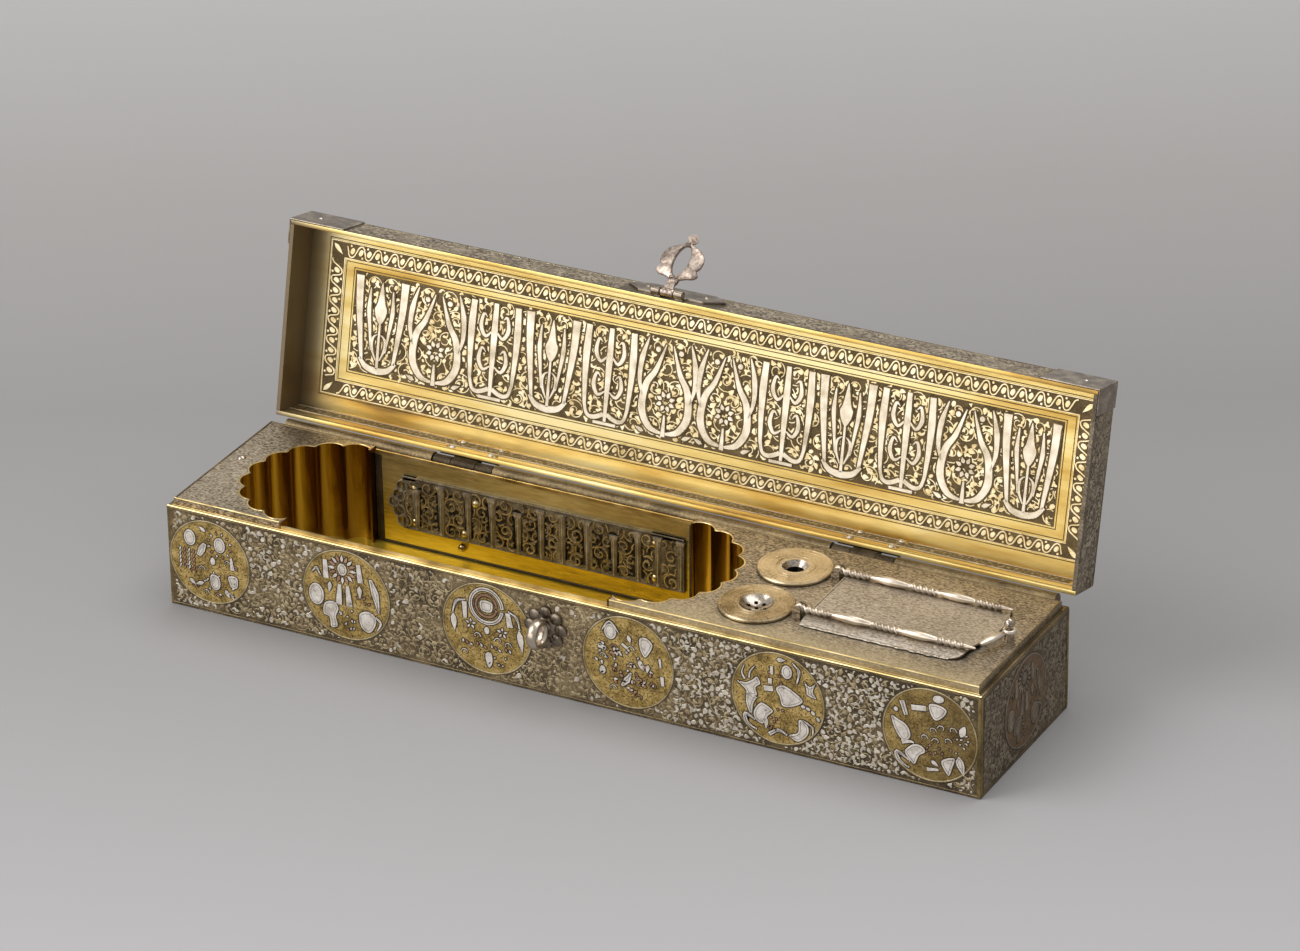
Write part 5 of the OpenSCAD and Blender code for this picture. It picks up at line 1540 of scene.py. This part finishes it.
HASP_T = 1.6
SLOT_MID = -13.5
SLOT_RX, SLOT_RY = 2.85, 6.3
HASP_RAYS = 96
LEAST_RIM = 1.2
SLOT_SOFT, EDGE_SOFT, CROWN = 0.4, 0.5, 0.25
HASP_EDGE = [(1.7, -3.4), (1.9, -5.4), (4.4, -6.6), (7.2, -7.2), (8.3, -9.0), (6.9, -10.4), (7.9, -11.8),
             (8.2, -14.6), (6.9, -17.6), (4.2, -19.5), (1.6, -20.6), (1.2, -21.4)]
FINIAL_AT, FINIAL_TILT = (0.6, -22.8, 0), math.radians(-20)
KNUCKLE_L, KNUCKLE_R, GROOVE_R = 5, 1.5, 1.35
KNUCKLE_STEPS = 12


def ray_length(outline, x, y, angle):
    """How far a ray from (x, y) goes to the outline's farthest side."""
    c, s = math.cos(angle), math.sin(angle)
    far = 0.0
    for (ax, ay), (bx, by) in zip(outline, outline[1:] + outline[:1]):
        ex, ey = bx - ax, by - ay
        cross = c * ey - s * ex
        if abs(cross) < 1e-9:
            continue
        t = ((ax - x) * ey - (ay - y) * ex) / cross
        u = ((ax - x) * s - (ay - y) * c) / cross
        if 0 <= u <= 1 and t > far:
            far = t
    return far


def hasp():
    leafy = Relief()
    place = HASP_UP @ face((0, 0, 0), X, Z)
    outline = curve(HASP_EDGE + [(-x, y) for x, y in HASP_EDGE[::-1]], closed=True)
    half = HASP_T / 2
    loops = []
    for k in range(HASP_RAYS):
        a = TAU * k / HASP_RAYS
        inner = SLOT_RX * SLOT_RY / math.hypot(SLOT_RY * math.cos(a), SLOT_RX * math.sin(a))
        outer = max(ray_length(outline, 0, SLOT_MID, a), inner + LEAST_RIM)
        slot_side = [(inner, half / 2), (inner, -half / 2), (inner + SLOT_SOFT, -half)]
        edge_side = [(outer - EDGE_SOFT, -half), (outer, -half / 2), (outer, half / 2)]
        top = [(outer - EDGE_SOFT, half), ((inner + outer) / 2, half + CROWN), (inner + SLOT_SOFT, half)]
        profile = slot_side + edge_side + top
        loops.append([(r * math.cos(a), SLOT_MID + r * math.sin(a), h) for r, h in profile])
    leafy.tube(place, loops, closed=True)
    leafy.shape(place, sweep([(0, 0.4), (0, -3.0), (0, -6.6)], 4.4, 3.2, 3.6), half, 0.35, base=-half)
    leafy.shape(place, sweep([(0, -20.2), (0.1, -21.6), (0.5, -22.6)], 2.2, 1.5, 1.6), half, 0.3, base=-half)
    tilted = place @ Matrix.Translation(FINIAL_AT) @ Matrix.Rotation(FINIAL_TILT, 4, "Y")
    leafy.dome(tilted, 0, 0, 1.9, half, 18, 5, base=-half)
    knuckle = []
    for k in range(KNUCKLE_STEPS + 1):
        x = KNUCKLE_L * (k / KNUCKLE_STEPS - 0.5)
        knuckle.append(section(x, disc(0, 0, KNUCKLE_R if k % 4 else GROOVE_R, sides=20)))
    leafy.tube(place, knuckle)
    leafy.keep("leafy_hasp", "hasp", "silver", "hasp_silver", sharp=45, replaces=["hasp"])


hasp()


# Studio: floor, light and surroundings

FLOOR_REACH = 8.0
FLOOR_DEPTH = (-0.2, 0.6)
# Painted light and shade on the floor: lighter near the camera and far off, darker in a band just behind the
# box
FLOOR_LIGHT_TONES = [(158, 156, 157), (141, 139, 139), (130, 128, 127), (141, 138, 137), (156, 154, 153)]
WORLD_TONES = ((0.0, (0.5, 0.5, 0.5, 1)), (0.9, (0.72, 0.72, 0.71, 1)))
LIGHT_AIM = Vector((0, 0, 0.05))


def make_floor():
    mesh = bpy.data.meshes.new("floor")
    corners = lifted(rectangle(-FLOOR_REACH, -FLOOR_REACH, FLOOR_REACH, FLOOR_REACH), 0)
    mesh.from_pydata(corners, [], [(0, 1, 2, 3)])
    floor = bpy.data.objects.new("floor", mesh)
    scene.collection.objects.link(floor)
    look = Shader("floor_paper", 0.0)
    # The floor's tone follows how far along the view it lies, as painted light and shade
    away = look.dot(look.place, (-math.sin(CAMERA_TURN), math.cos(CAMERA_TURN), 0))
    colour = look.ramp(look.spread(away, *FLOOR_DEPTH, 0, 1), FLOOR_LIGHT_TONES, 0, 1)
    look.finish(colour, (look.noise(260.0), 0.85, 0.95))
    mesh.materials.append(LOOKS["floor_paper"])


def softbox(name, at, size, watts):
    data = bpy.data.lights.new(name, "AREA")
    data.shape = "RECTANGLE"
    data.size, data.size_y = size
    data.energy = watts
    light = bpy.data.objects.new(name, data)
    light.location = at
    light.rotation_euler = (LIGHT_AIM - Vector(at)).to_track_quat("-Z", "Y").to_euler()
    scene.collection.objects.link(light)


def make_world():
    world = bpy.data.worlds.new("studio")
    world.use_nodes = True
    nodes, links = world.node_tree.nodes, world.node_tree.links
    split = nodes.new("ShaderNodeSeparateXYZ")
    links.new(nodes.new("ShaderNodeTexCoord").outputs["Generated"], split.inputs[0])
    ramp = nodes.new("ShaderNodeValToRGB")
    links.new(split.outputs["Z"], ramp.inputs[0])
    for stop, (position, tone) in zip(ramp.color_ramp.elements, WORLD_TONES):
        stop.position, stop.color = position, tone
    links.new(ramp.outputs[0], nodes["Background"].inputs["Color"])
    scene.world = world


make_floor()
make_world()
softbox("key_light", (-1.3, -1.0, 1.7), (1.4, 1.2), 28)
softbox("card_light", (-1.0, -2.1, 0.55), (2.4, 1.2), 20)
softbox("top_light", (0.2, 0.6, 1.9), (1.8, 1.2), 20)
